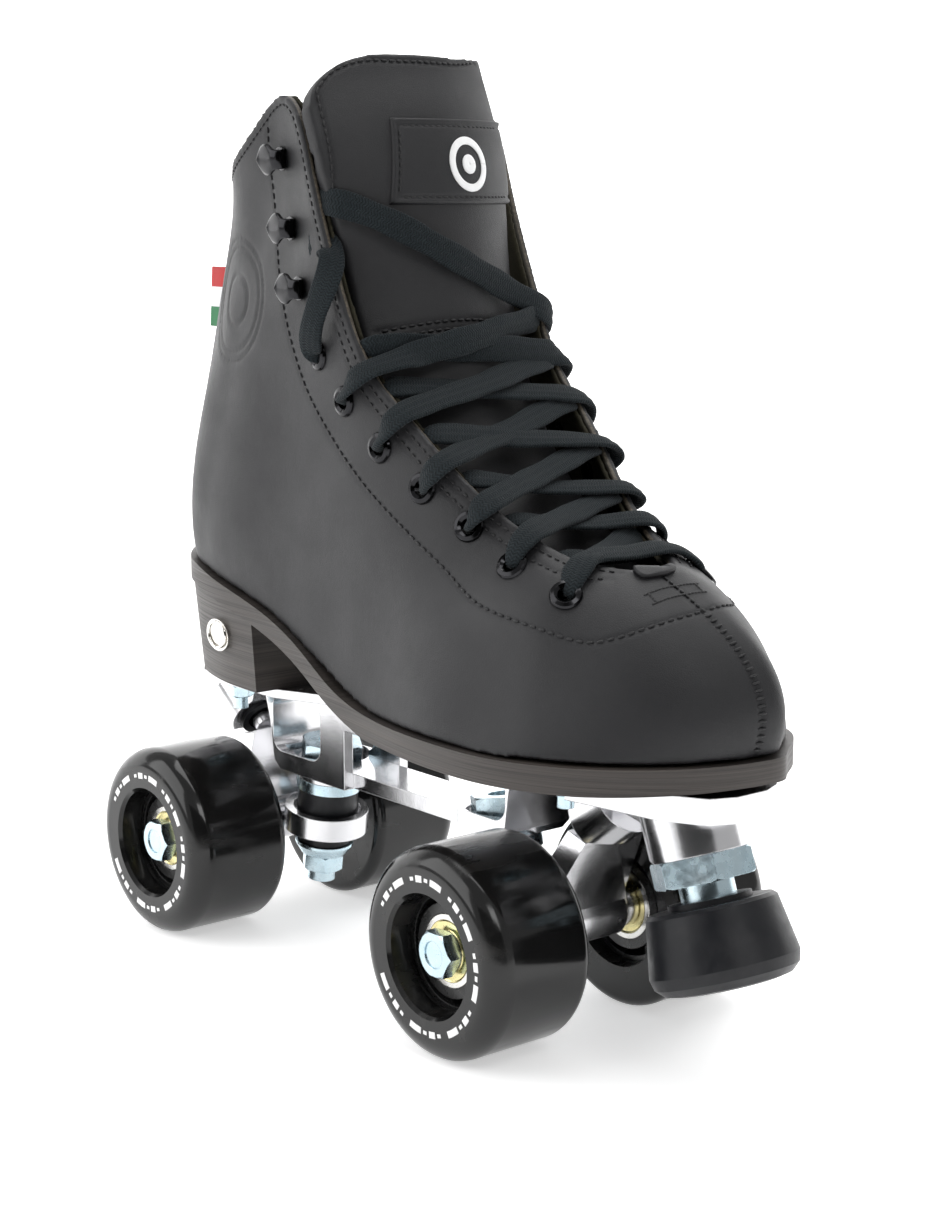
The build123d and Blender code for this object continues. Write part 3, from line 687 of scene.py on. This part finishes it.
def bar_tack(sewing, tree):
    """Reinforcing box of close stitches over the end of the throat."""
    corners = [top_spot(tree, TACK_X + dx * TACK_WIDE / 2 + dy * TACK_SLANT, TACK_Y + dy * TACK_LONG / 2)
               for dx, dy in ((-1, -1), (1, -1), (1, 1), (-1, 1))]
    for a, b in zip(corners, corners[1:] + corners[:1]):
        sewing.row(tree, evenly([a.lerp(b, k / 8) for k in range(-1, 10)], 1.25 * MM), 1.5 * MM, 0.4 * MM)


def make_upper():
    """Both halves of the upper as one sewn skin, with its seams, stitch rows and pressed rings."""
    inner = tree_of(NODES["upper_lining"])
    skin = skin_of(["upper_right", "upper_left"], "upper_leather", 0.88 * MM, LEATHER, smoothing=7)
    mark_depth(skin, inner)
    raise_top(skin)
    tree = tree_of(skin)
    sewing = Sewing()
    for side, node in ((-1, "upper_right"), (1, "upper_left")):
        quarter = curve_through(quarter_seam(tree, side), 2.9 * MM)
        rows = [sewing.row(tree, quarter, 1.9 * MM, 0.42 * MM)]
        rim = rim_line(node, side, inner)[2:-1]
        rows.append(sewing.row(tree, evenly(inset(tree, rim, 2.8 * MM, side), 2.7 * MM), 1.6 * MM, 0.3 * MM))
        facing = [p for p in rim if p.z < 0.212 and p.x > MID_X]
        rows.append(sewing.row(tree, evenly(inset(tree, facing, 6.2 * MM, side), 2.7 * MM), 1.5 * MM, 0.3 * MM))
        for row in rows:
            press(skin, evenly(row, 0.7 * MM), 0.28 * MM, 0.8 * MM)
        for radius in (19.5, 16.5, 8):
            press(skin, ring_points(tree, (-54.5, 211), radius, side), 0.45 * MM, 0.9 * MM)
    seam = curve_through(toe_seam(tree), 2.1 * MM)
    sewing.row(tree, seam[8:], 2.6 * MM, 0.4 * MM, across=True)
    sewing.row(tree, seam[:10], 1.5 * MM, 0.4 * MM)
    press(skin, [onto(tree, p)[0] for p in evenly(seam, 0.7 * MM)], 0.5 * MM, 0.8 * MM)
    bar_tack(sewing, tree)
    sewing.finish("upper_stitching")
    return skin, tree


def grid_faces(rows, columns, start=0, flip=False):
    faces = []
    for r in range(rows - 1):
        for c in range(columns - 1):
            a = start + r * columns + c
            face = (a, a + 1, a + columns + 1, a + columns)
            faces.append(face[::-1] if flip else face)
    return faces


def slab(name, top, bottom, material, body="skate"):
    """Closed thin piece between two grids of points."""
    rows, columns = len(top), len(top[0])
    verts = [p for row in top for p in row] + [p for row in bottom for p in row]
    size = rows * columns
    faces = grid_faces(rows, columns) + grid_faces(rows, columns, size, flip=True)
    border = [c for c in range(columns)] + [r * columns + columns - 1 for r in range(1, rows)]
    border += [(rows - 1) * columns + c for c in range(columns - 2, -1, -1)] + [
        r * columns for r in range(rows - 2, 0, -1)]
    for a, b in zip(border, border[1:] + border[:1]):
        faces.append((b, a, a + size, b + size))
    piece = make_piece(name, verts, faces, material, body)
    mesh = bmesh.new()
    mesh.from_mesh(piece.data)
    bmesh.ops.recalc_face_normals(mesh, faces=mesh.faces)
    mesh.to_mesh(piece.data)
    mesh.free()
    return piece


def throat_tab(tree):
    """Small leather tab that stops the lace cutting into the end of the throat."""
    top, bottom = [], []
    for i in range(9):
        s = i / 8
        x = 108.5 + 6.5 * s
        half = 6.5 * math.sqrt(max(0.05, 1 - (2 * s - 1) ** 4))
        places = [onto(tree, at(x, -3 + half * (2 * c / 14 - 1), 143.5 - 3.5 * s)) for c in range(15)]
        top.append([spot + normal * (1.5 * MM) for spot, normal in places])
        bottom.append([spot + normal * (0.1 * MM) for spot, normal in places])
    return slab("throat_tab", top, bottom, TRIM_LEATHER)


# ---------------------------------------------------------------- lining and tongue
def make_lining():
    lining = skin_of(["upper_lining"], "upper_lining_leather", 0.9 * MM, LINING, smoothing=3)
    raise_top(lining)


def lace_hook(tree, x, z, side):
    """Bent strip with a broad round end: it lies on the leather, curls at the front and opens to the rear."""
    spot, normal = wall_spot(tree, x, z, side)
    forward = Vector((1, 0, 0))
    forward = (forward - normal * forward.dot(normal)).normalized()
    tall = normal.cross(forward)
    path = curve_through([Vector(p) for p in HOOK_PATH], 0.45)
    top, bottom = [], []
    for before, place, after in zip([path[0], *path], path, [*path[1:], path[-1]]):
        run = (after - before).normalized()
        thick = (normal * run.x - forward * run.y).normalized() * (0.4 * MM)
        row = []
        for c in range(11):
            share = c / 5 - 1
            crown = 0.7 * share * share * min(1.0, max(0.0, place.y - 2.5))
            row.append(spot + (forward * place.x + normal * (place.y - crown) + tall * (place.z * share)) * MM)
        top.append([p + thick for p in row])
        bottom.append([p - thick for p in row])
    return slab(f"lace_hook_{side}_{round(z)}", top, bottom, GUNMETAL)


def make_hooks(tree):
    hooks = [lace_hook(tree, x, z, side) for side in (-1, 1) for x, z in HOOKS]
    join(hooks, "lace_hooks_bent")
    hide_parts("lace_hooks")


TOP_LEAN = 0.15             # how much wider the tongue's outer half is at its top
ARC_START, ARC_WIDE, ARC_TALL = 14, 24, 16      # the arc that rounds the top's outer corner
EDGE_INSET = 2.8
CORNER_RISE = 3.4           # how far the inner corner stands above the middle


def tongue_edge():
    """Row of stitches inside the tongue's edge: up the outer side, round the arc and along the top."""
    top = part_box("tongue")[1][2] / MM
    wide, tall = ARC_WIDE - EDGE_INSET, ARC_TALL - EDGE_INSET
    side = [(-ARC_START - wide, z) for z in (244, 252, 260)]
    arc = []
    for k in range(9):
        turn = math.radians(80 - 10 * k)
        arc.append((-ARC_START - wide * math.sin(turn), top - ARC_TALL + tall * math.cos(turn)))
    return side + arc + [(y, top - EDGE_INSET - 0.0018 * y * y + 0.0054 * max(0, y - 8) ** 2)
                         for y in (-8, 0, 8, 15, 22, 29)]


def front_spot(tree, y, z):
    """Place and normal where a line from ahead meets the front of the tongue, or the edge beside the line."""
    spot, normal = tree.ray_cast(at(140, y, z), Vector((-1, 0, 0)))[:2]
    if spot is None:
        spot, normal = tree.find_nearest(at(0, y, z))[:2]
    return spot, normal if normal.x > 0 else -normal


def shape_tongue(tongue):
    """Draws the top's outer corner down into an arc, and lets that side lean out against the facing."""
    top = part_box("tongue")[1][2]
    points = points_of(tongue)
    for point in points:
        if point[1] < 0:
            share = min(1.0, max(0.0, (point[2] - 0.215) / 0.04))
            point[1] *= 1 + TOP_LEAN * share * share * (3 - 2 * share)
            round_off = min(0.99, max(0.0, (-point[1] / MM - ARC_START) / ARC_WIDE))
            low = top - 40 * MM
            share = min(1.0, max(0.0, (point[2] - low) / (top - low)))
            drop = ARC_TALL * MM * (1 - math.sqrt(1 - round_off ** 2)) * share
            point[2] -= drop
            point[0] += drop * 0.5
        else:
            share = min(1.0, max(0.0, (point[2] - 0.255) / 0.025)) * max(0.0, (point[1] / MM - 8) / 25) ** 2
            point[2] += CORNER_RISE * MM * share
            point[0] -= CORNER_RISE * MM * share * 0.5
    set_points(tongue, points)


def tongue_row_height(y):
    return 204.4 - 4 * (y / 30) ** 2


def make_tongue():
    tongue = skin_of(["tongue"], "tongue_leather", 0.9 * MM, LEATHER, smoothing=14)
    shape_tongue(tongue)
    layer = tongue.data.attributes.new("depth", "FLOAT", "POINT")
    layer.data.foreach_set("value", np.full(len(tongue.data.vertices), 3.0))
    tree = tree_of(tongue)
    spots = [front_spot(tree, y, z)[0] for y, z in tongue_edge()]
    sewing = Sewing()
    line = curve_through(spots, 2.6 * MM)
    rows = [sewing.row(tree, line, 1.9 * MM, 0.36 * MM)]
    for rise in (0, 2.4):
        across = [front_spot(tree, y, tongue_row_height(y) + rise)[0] for y in range(-27, 28, 3)]
        rows.append(sewing.row(tree, evenly(across, 2.9 * MM), 2.0 * MM, 0.45 * MM))
    for row in rows:
        press(tongue, evenly(row, 0.7 * MM), 0.4 * MM, 0.9 * MM)
    sewing.finish("tongue_stitching")
    return tongue, tree_of(tongue)


PATCH_LOW, PATCH_HIGH, PATCH_RIGHT = 241, 266.4, 32.4


def patch_left(z):
    return -20 + 4.1 * (z - PATCH_LOW) / (PATCH_HIGH - PATCH_LOW)


def make_patch(tree):
    """Raised leather patch on the tongue, with a moulded border and a row of stitches inside it."""
    columns, rows = 72, 44
    top, bottom = [], []
    for r in range(rows + 1):
        above, below = [], []
        z = PATCH_LOW + (PATCH_HIGH - PATCH_LOW) * r / rows
        for c in range(columns + 1):
            y = patch_left(z) + (PATCH_RIGHT - patch_left(z)) * c / columns
            spot, normal = front_spot(tree, y, z)
            rim = min(y - patch_left(z), z - PATCH_LOW, PATCH_HIGH - z)
            raised_rim = 0.4 * math.exp(-((rim - 0.9) / 0.55) ** 2) - 0.35 * math.exp(-((rim - 2.2) / 0.5) ** 2)
            height = 1.1 + raised_rim - 0.9 * max(0.0, 1 - rim / 0.45)
            above.append(spot + normal * (height * MM))
            below.append(spot - normal * (0.3 * MM))
        top.append(above)
        bottom.append(below)
    patch = slab("tongue_patch_leather", top, bottom, TRIM_LEATHER)
    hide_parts("tongue_patch")
    surface = tree_of(patch)
    sewing = Sewing()
    low, high = PATCH_LOW + 2.2, PATCH_HIGH - 2.2
    corners = [(PATCH_RIGHT - 2, high), (patch_left(high) + 2.2, high), (patch_left(low) + 2.2, low),
               (PATCH_RIGHT - 2, low)]
    for (y0, z0), (y1, z1) in zip(corners, corners[1:]):
        steps = [(y0 + (y1 - y0) * k / 12, z0 + (z1 - z0) * k / 12) for k in range(13)]
        line = [front_spot(surface, y, z)[0] for y, z in steps]
        sewing.row(surface, evenly(line, 2.3 * MM), 1.7 * MM, 0.36 * MM)
    sewing.finish("patch_stitching")
    return surface


def printed_ring(name, spot_at, inner, outer, lift, body, start=0.0, sweep=math.tau, steps=48):
    """Thin raised print: part of a ring on a surface. spot_at(radius, turn) gives a place and its normal."""
    top, bottom = [], []
    for r in range(4):
        radius = inner + (outer - inner) * r / 3
        places = [spot_at(radius, start + sweep * k / steps) for k in range(steps + 1)]
        top.append([spot + normal * (lift * MM) for spot, normal in places])
        bottom.append([spot - normal * (0.05 * MM) for spot, normal in places])
    return slab(name, top, bottom, INK, body)


def patch_roundel(surface):
    """Plain white roundel printed on the tongue's patch."""
    def spot_at(radius, turn):
        return front_spot(surface, 9.3 + radius * math.cos(turn), 253 + radius * math.sin(turn))
    printed_ring("patch_roundel_ring", spot_at, 5.9, 8.2, 0.3, "skate")
    printed_ring("patch_roundel_dot", spot_at, 0.05, 2.9, 0.3, "skate")


# ---------------------------------------------------------------- laces
LACE_WIDTH, LACE_THICK = 8.2 * MM, 2.0 * MM


def strap(name, points, under, rng, lift=0.0, tucked=(False, False), pinched=(True, True)):
    """Flat lace along some points. It lies on what is under it and is pinched where it enters an eyelet.

    under has a tree for each half of the lace. A tucked end slides in between the facing and the tongue.
    """
    line = curve_through(points, 1.1 * MM)
    count = len(line)
    start_free = 0.12 if pinched[0] and not tucked[0] else 0.0
    end_free = 0.88 if pinched[1] and not tucked[1] else 1.0 if tucked[1] else 0.7
    normals = []
    for i, point in enumerate(line):
        t = i / (count - 1)
        out = outward(point)
        spot, normal = under[t > 0.5].ray_cast(point + out * (30 * MM), -out)[:2]
        normals.append(out)
        if spot is None:
            continue
        if start_free <= t <= end_free:
            need = LACE_THICK * 0.5 + 0.3 * MM + lift * MM * math.sin(math.pi * t) ** 2
            line[i] = point + out * max(0.0, need - (point - spot).dot(out))
        normals[i] = ((normal if normal.dot(out) > 0 else -normal) + out).normalized()
    for _ in range(10):
        line[1:-1] = [(a + b * 2 + c) / 4 for a, b, c in zip(line, line[1:], line[2:])]
        normals = [(a + b + c).normalized() for a, b, c in
                   zip([normals[0], *normals], normals, [*normals[1:], normals[-1]])]
    sway = rng.uniform(-0.16, 0.16)
    verts, uvs, ring = [], [], 20
    length = 0.0
    for i, point in enumerate(line):
        t = i / (count - 1)
        if i:
            length += (point - line[i - 1]).length
        along = (line[min(i + 1, count - 1)] - line[max(i - 1, 0)]).normalized()
        up = (normals[i] - along * normals[i].dot(along)).normalized()
        up = Matrix.Rotation(sway * math.sin(t * 5), 3, along) @ up
        side = along.cross(up)
        pinch = 1.0
        if pinched[0]:
            pinch = min(pinch, 0.5 + 0.5 * min(1.0, i * 1.1 / 9))
        if pinched[1]:
            pinch = min(pinch, 0.5 + 0.5 * min(1.0, (count - 1 - i) * 1.1 / 9))
        wide = LACE_WIDTH / 2 * pinch * (1 + 0.05 * math.sin(i * 0.35 + sway * 20))
        thick = LACE_THICK / 2 * (1 + 0.8 * (1 - pinch))
        for k in range(ring):
            turn = math.tau * k / ring
            across = math.copysign(abs(math.cos(turn)) ** 0.7, math.cos(turn))
            rise = math.copysign(abs(math.sin(turn)) ** 0.8, math.sin(turn))
            ridge = 1 - 0.13 * math.cos(across * math.pi * 3)
            verts.append(point + side * (wide * across) + up * (thick * rise * ridge))
            uvs.append((length, across * wide))
    faces = []
    for i in range(count - 1):
        for k in range(ring):
            a, b = i * ring + k, i * ring + (k + 1) % ring
            faces.append((a, b, b + ring, a + ring))
    faces.append(tuple(range(ring - 1, -1, -1)))
    faces.append(tuple(range((count - 1) * ring, count * ring)))
    piece = make_piece(name, verts, faces, LACE)
    layer = piece.data.uv_layers.new(name="UVMap")
    for loop in piece.data.loops:
        layer.data[loop.index].uv = uvs[loop.vertex_index]
    return piece, length


def rim_spot(rims, spot):
    """Place on the facing's edge nearest to an eyelet."""
    return min(rims, key=lambda p: (p - spot).length)


def make_laces(skin, tongue, tongue_tree, rims):
    """Criss-cross lacing: a strand leaves an eyelet over one facing and goes in under the other."""
    over_all = tree_of(skin, tongue)
    rng = random.Random(7)
    last = len(EYELETS) - 1
    seats = {side: [eyelet_seat(CAD_WALL, x, z, side) for x, z in EYELETS] for side in (-1, 1)}

    def end_of(side, k, tuck):
        spot, normal = seats[side][k]
        if tuck and side < 0:
            spot = spot.lerp(seats[side][k + 1][0], 0.4)
        edge = rim_spot(rims[side], spot)
        if tuck:
            beneath = edge - normal * (4.6 * MM)
            return [beneath + (spot - edge).normalized() * (5 * MM), beneath]
        return [spot - normal * (1.0 * MM), spot + normal * (2.2 * MM) + (edge - spot) * 0.18,
                edge + normal * (1.3 * MM) + outward(edge) * (0.5 * MM)]

    def route(lateral, medial, tucked, lift, nudge):
        first, second = end_of(-1, lateral, tucked[0]), end_of(1, medial, tucked[1])
        crown = (first[-1] + second[-1]) / 2 + Vector((0, 0, nudge * MM))
        on_tongue, normal = onto(tongue_tree, crown)
        height = max((crown - on_tongue).dot(normal), (2.2 + lift) * MM)
        return [*first, on_tongue + normal * height, *second[::-1]]

    total = 0.0
    strands = [("lace_bottom_bar", last, last, (False, False), 0.3, 0)]
    for k in range(last):
        strands.append((f"lace_fall_{k + 1}", k, k + 1, (True, False), 0.3, rng.uniform(-1.5, 1.5)))
        strands.append((f"lace_rise_{k + 1}", k + 1, k, (False, True), 2.9, rng.uniform(-1.5, 1.5)))
    for name, lateral, medial, tucked, lift, nudge in strands:
        under = [tongue_tree if tuck else over_all for tuck in tucked]
        piece, length = strap(name, route(lateral, medial, tucked, lift, nudge), under, rng, lift, tucked)
        total += length
    under = [over_all, tongue_tree]
    spot, normal = seats[1][0]
    edge = rim_spot(rims[1], spot)
    over = [(17.5, 22, 215, 3), (20.5, -4.5, 226.7, 3), (15.5, -22.5, 236, 3), (6.5, -33.5, 241.5, 1.5), (-3, -36.5, 242, 0.5)]
    tail = [spot - normal * MM, spot + normal * (2.2 * MM), edge + normal * (2.5 * MM)]
    tail += [at(x, y, z) + Vector((lift * MM, 0, 0)) for x, y, z, lift in over]
    piece, length = strap("lace_end_inner", tail, under, rng, tucked=(False, True), pinched=(True, False))
    total += length
    spot, normal = seats[-1][0]
    over = [(5.5, -42.5, 204), (9.5, -42.5, 212.5), (12.5, -41, 220), (11.5, -38.5, 226), (5.5, -36.5, 229.5), (-2, -36.5, 230)]
    tail = [spot - normal * MM, spot + normal * (2.4 * MM)] + [at(*p) for p in over]
    piece, length = strap("lace_end_outer", tail, [over_all, over_all], rng, pinched=(True, False))
    total += length
    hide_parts("laces")
    print("lace shown:", round(total, 3), "m")


# ---------------------------------------------------------------- cushions
def make_cushions(end, way):
    """The rubber rings above and below a truck's ring, split from the one cushion piece into two."""
    axis = Vector((-way * math.sin(KING_LEAN), 0, math.cos(KING_LEAN)))
    node = f"cushions_{end}"
    low, high = (Vector(p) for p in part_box(node))
    centre = (low + high) / 2
    for name, turn in (("upper", 1), ("lower", -1)):
        half = bmesh.new()
        half.from_mesh(NODES[node].data)
        far = [v for v in half.verts if (v.co - centre).dot(axis) * turn < 0]
        bmesh.ops.delete(half, geom=far, context="VERTS")
        reach = [(v.co - centre).dot(axis) for v in half.verts]
        mesh = bpy.data.meshes.new(f"cushion_{end}_{name}")
        half.to_mesh(mesh)
        half.free()
        piece = link(f"cushion_{end}_{name}", mesh, RUBBER, body=None)
        mesh.set_sharp_from_angle(angle=math.radians(35))
        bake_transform(piece)
        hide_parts(node)


# ---------------------------------------------------------------- back tab, badge
def make_back_tab():
    """Ribbon sewn into the back seam and folded on itself, standing out behind the boot."""
    low, high = (Vector(c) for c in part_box("back_tab"))
    gap, cloth = 0.5 * MM, 0.45 * MM
    front = high.x
    route = [Vector((front - s * (front - low.x - 1.2 * MM) / 10, gap + cloth * 0.4 * math.sin(s), 0)) for s in range(11)]
    for k in range(1, 6):
        turn = math.pi * k / 6
        route.append(Vector((route[10].x - gap * 1.6 * math.sin(turn), gap * math.cos(turn), 0)))
    route += [Vector((p.x, -p.y, 0)) for p in route[10::-1]]
    columns = 8
    grid = []
    for point in route:
        behind = (front - point.x) / (front - low.x)
        rise = 1.0 * MM * behind
        grid.append([Vector((point.x + 1.7 * MM * c / columns * behind, point.y, low.z + (high.z - low.z) * c / columns))
                     - Vector((0, 0, 0)) for c in range(columns + 1)])
    verts = [p for row in grid for p in row]
    look = ribbon("tricolour_ribbon", low.z, high.z)
    tab = make_piece("back_tab_ribbon", verts, grid_faces(len(grid), columns + 1), look)
    solid = tab.modifiers.new("cloth", "SOLIDIFY")
    solid.thickness = cloth
    solid.offset = 0
    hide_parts("back_tab")


def badge_ring():
    """Raised rim round the heel's oval badge."""
    low, high = (Vector(c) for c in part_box("heel_badge"))
    centre = (low + high) / 2
    wide, tall = (high.x - low.x) / 2, (high.z - low.z) / 2
    verts, faces, steps = [], [], 48
    profile = ((0.86, 0.0), (0.84, 0.35), (0.76, 0.45), (0.70, 0.35), (0.68, 0.0))
    for size, lift in profile:
        for k in range(steps):
            turn = math.tau * k / steps
            verts.append(Vector((centre.x + wide * size * math.cos(turn), low.y - lift * MM + 0.05 * MM,
                                 centre.z + tall * size * math.sin(turn))))
    for r in range(len(profile) - 1):
        for k in range(steps):
            a, b = r * steps + k, r * steps + (k + 1) % steps
            faces.append((a, b, b + steps, a + steps))
    make_piece("heel_badge_rim", verts, faces, CHROME)


# ---------------------------------------------------------------- wheels
PRINT_RADIUS, PRINT_TALL = 22.6, 2.0
PRINT_GROUPS, GROUP_DASHES = 7, (0.30, 0.09, 0.16, 0.09)     # each group's dashes, as turns of the wheel


def wheel_print(end, hand):
    """Generic white dashes round the outer face of a wheel."""
    node = f"tyre_{end}_{hand}"
    tree = tree_of(NODES[node])
    centre = middle(node)
    side = -1 if hand == "right" else 1

    def spot_at(radius, turn):
        start = centre + Vector((radius * MM * math.cos(turn), side * 0.05, radius * MM * math.sin(turn)))
        spot, normal = tree.ray_cast(start, Vector((0, -side, 0)))[:2]
        return spot, normal if normal.y * side > 0 else -normal

    pieces = []
    for g in range(PRINT_GROUPS):
        turn = math.pi + (g + 1) * math.tau / (PRINT_GROUPS + 1) - 0.32
        for d, sweep in enumerate(GROUP_DASHES):
            tall = PRINT_TALL if d % 2 == 0 else PRINT_TALL * 0.55
            name = f"wheel_print_{end}_{hand}_{g}_{d}"
            pieces.append(printed_ring(name, spot_at, PRINT_RADIUS - tall / 2, PRINT_RADIUS + tall / 2, 0.06,
                                       f"wheel_{end}_{hand}", turn, sweep * 0.75, 8))
            turn += sweep * 0.75 + 0.05
    join(pieces, f"wheel_print_{end}_{hand}")


def join(pieces, name):
    """Makes one piece of several that ride on the same body."""
    keep = pieces[0]
    whole = bmesh.new()
    for piece in pieces:
        whole.from_mesh(piece.data)
    whole.to_mesh(keep.data)
    whole.free()
    for piece in pieces[1:]:
        bpy.data.objects.remove(piece)
    keep.name = name
    keep.data.shade_smooth()


# ---------------------------------------------------------------- put it together
CAD_WALL = tree_of(NODES["upper_right"], NODES["upper_left"])
SKIN, UPPER = make_upper()
throat_tab(UPPER)
make_lining()
TONGUE, TONGUE_TREE = make_tongue()
PATCH = make_patch(TONGUE_TREE)
patch_roundel(PATCH)
INNER = tree_of(NODES["upper_lining"])
RIMS = {side: rim_line(node, side, INNER) for side, node in ((-1, "upper_right"), (1, "upper_left"))}
make_laces(SKIN, TONGUE, TONGUE_TREE, RIMS)
make_hooks(UPPER)
make_cushions("front", 1)
make_cushions("rear", -1)
make_back_tab()
badge_ring()
for end in ENDS:
    for hand in HANDS:
        wheel_print(end, hand)


# ---------------------------------------------------------------- studio
def make_sweep():
    """White paper: a floor, a wall behind that is lit by itself, and a dark card behind the camera."""
    size, wall = 40.0, 2.6
    back = Vector((math.cos(math.radians(CAMERA_AZIMUTH)), math.sin(math.radians(CAMERA_AZIMUTH)), 0))
    side = Vector((-back.y, back.x, 0))
    floor = [(-size, -size, 0), (size, -size, 0), (size, size, 0), (-size, size, 0)]
    upright = [back * wall + side * (way * 7) + Vector((0, 0, z)) for way, z in ((-1, 0), (1, 0), (1, 2.2), (-1, 2.2))]
    flag = [back * -1.2 + side * (way * 0.9) + Vector((0, 0, z)) for way, z in ((-1, 0), (1, 0), (1, 1.0), (-1, 1.0))]
    for name, verts, tone, glow in (("floor", floor, 0.95, 0.5), ("wall", upright, 0.95, 1.15), ("flag", flag, 0.02, 0)):
        look = Look(f"{name}_paper", (tone, tone, tone), 0.8, Specular_IOR_Level=0.1,
                    Emission_Color=(1, 1, 1, 1), Emission_Strength=glow)
        look.paint(look.mixed(look.noise(3, 2), (tone * 0.99,) * 3, (tone,) * 3))
        mesh = bpy.data.meshes.new(name)
        mesh.from_pydata([tuple(p) for p in verts], [], [(0, 1, 2, 3)])
        mesh.materials.append(look.material)
        sheet = bpy.data.objects.new(name, mesh)
        bpy.context.scene.collection.objects.link(sheet)
        sheet.visible_camera = name != "flag"


def softbox(name, place, size, power):
    data = bpy.data.lights.new(name, "AREA")
    data.shape = "RECTANGLE"
    data.size, data.size_y = size
    data.energy = power
    lamp = bpy.data.objects.new(name, data)
    bpy.context.scene.collection.objects.link(lamp)
    lamp.location = place
    aim = Vector((0, 0, 0.14)) - Vector(place)
    lamp.rotation_euler = aim.to_track_quat("-Z", "Y").to_euler()


def make_world(strength):
    world = bpy.data.worlds.new("studio")
    world.use_nodes = True
    world.node_tree.nodes["Background"].inputs["Color"].default_value = (1, 1, 1, 1)
    world.node_tree.nodes["Background"].inputs["Strength"].default_value = strength
    bpy.context.scene.world = world


make_sweep()
softbox("key", (-0.7, -1.2, 0.9), (1.5, 1.3), 15)
softbox("front", (1.2, -0.3, 1.1), (0.6, 0.6), 5)
softbox("top", (-0.1, 0.3, 1.5), (1.2, 1.2), 14)
make_world(0.5)
bpy.context.scene.view_settings.view_transform = "Standard"
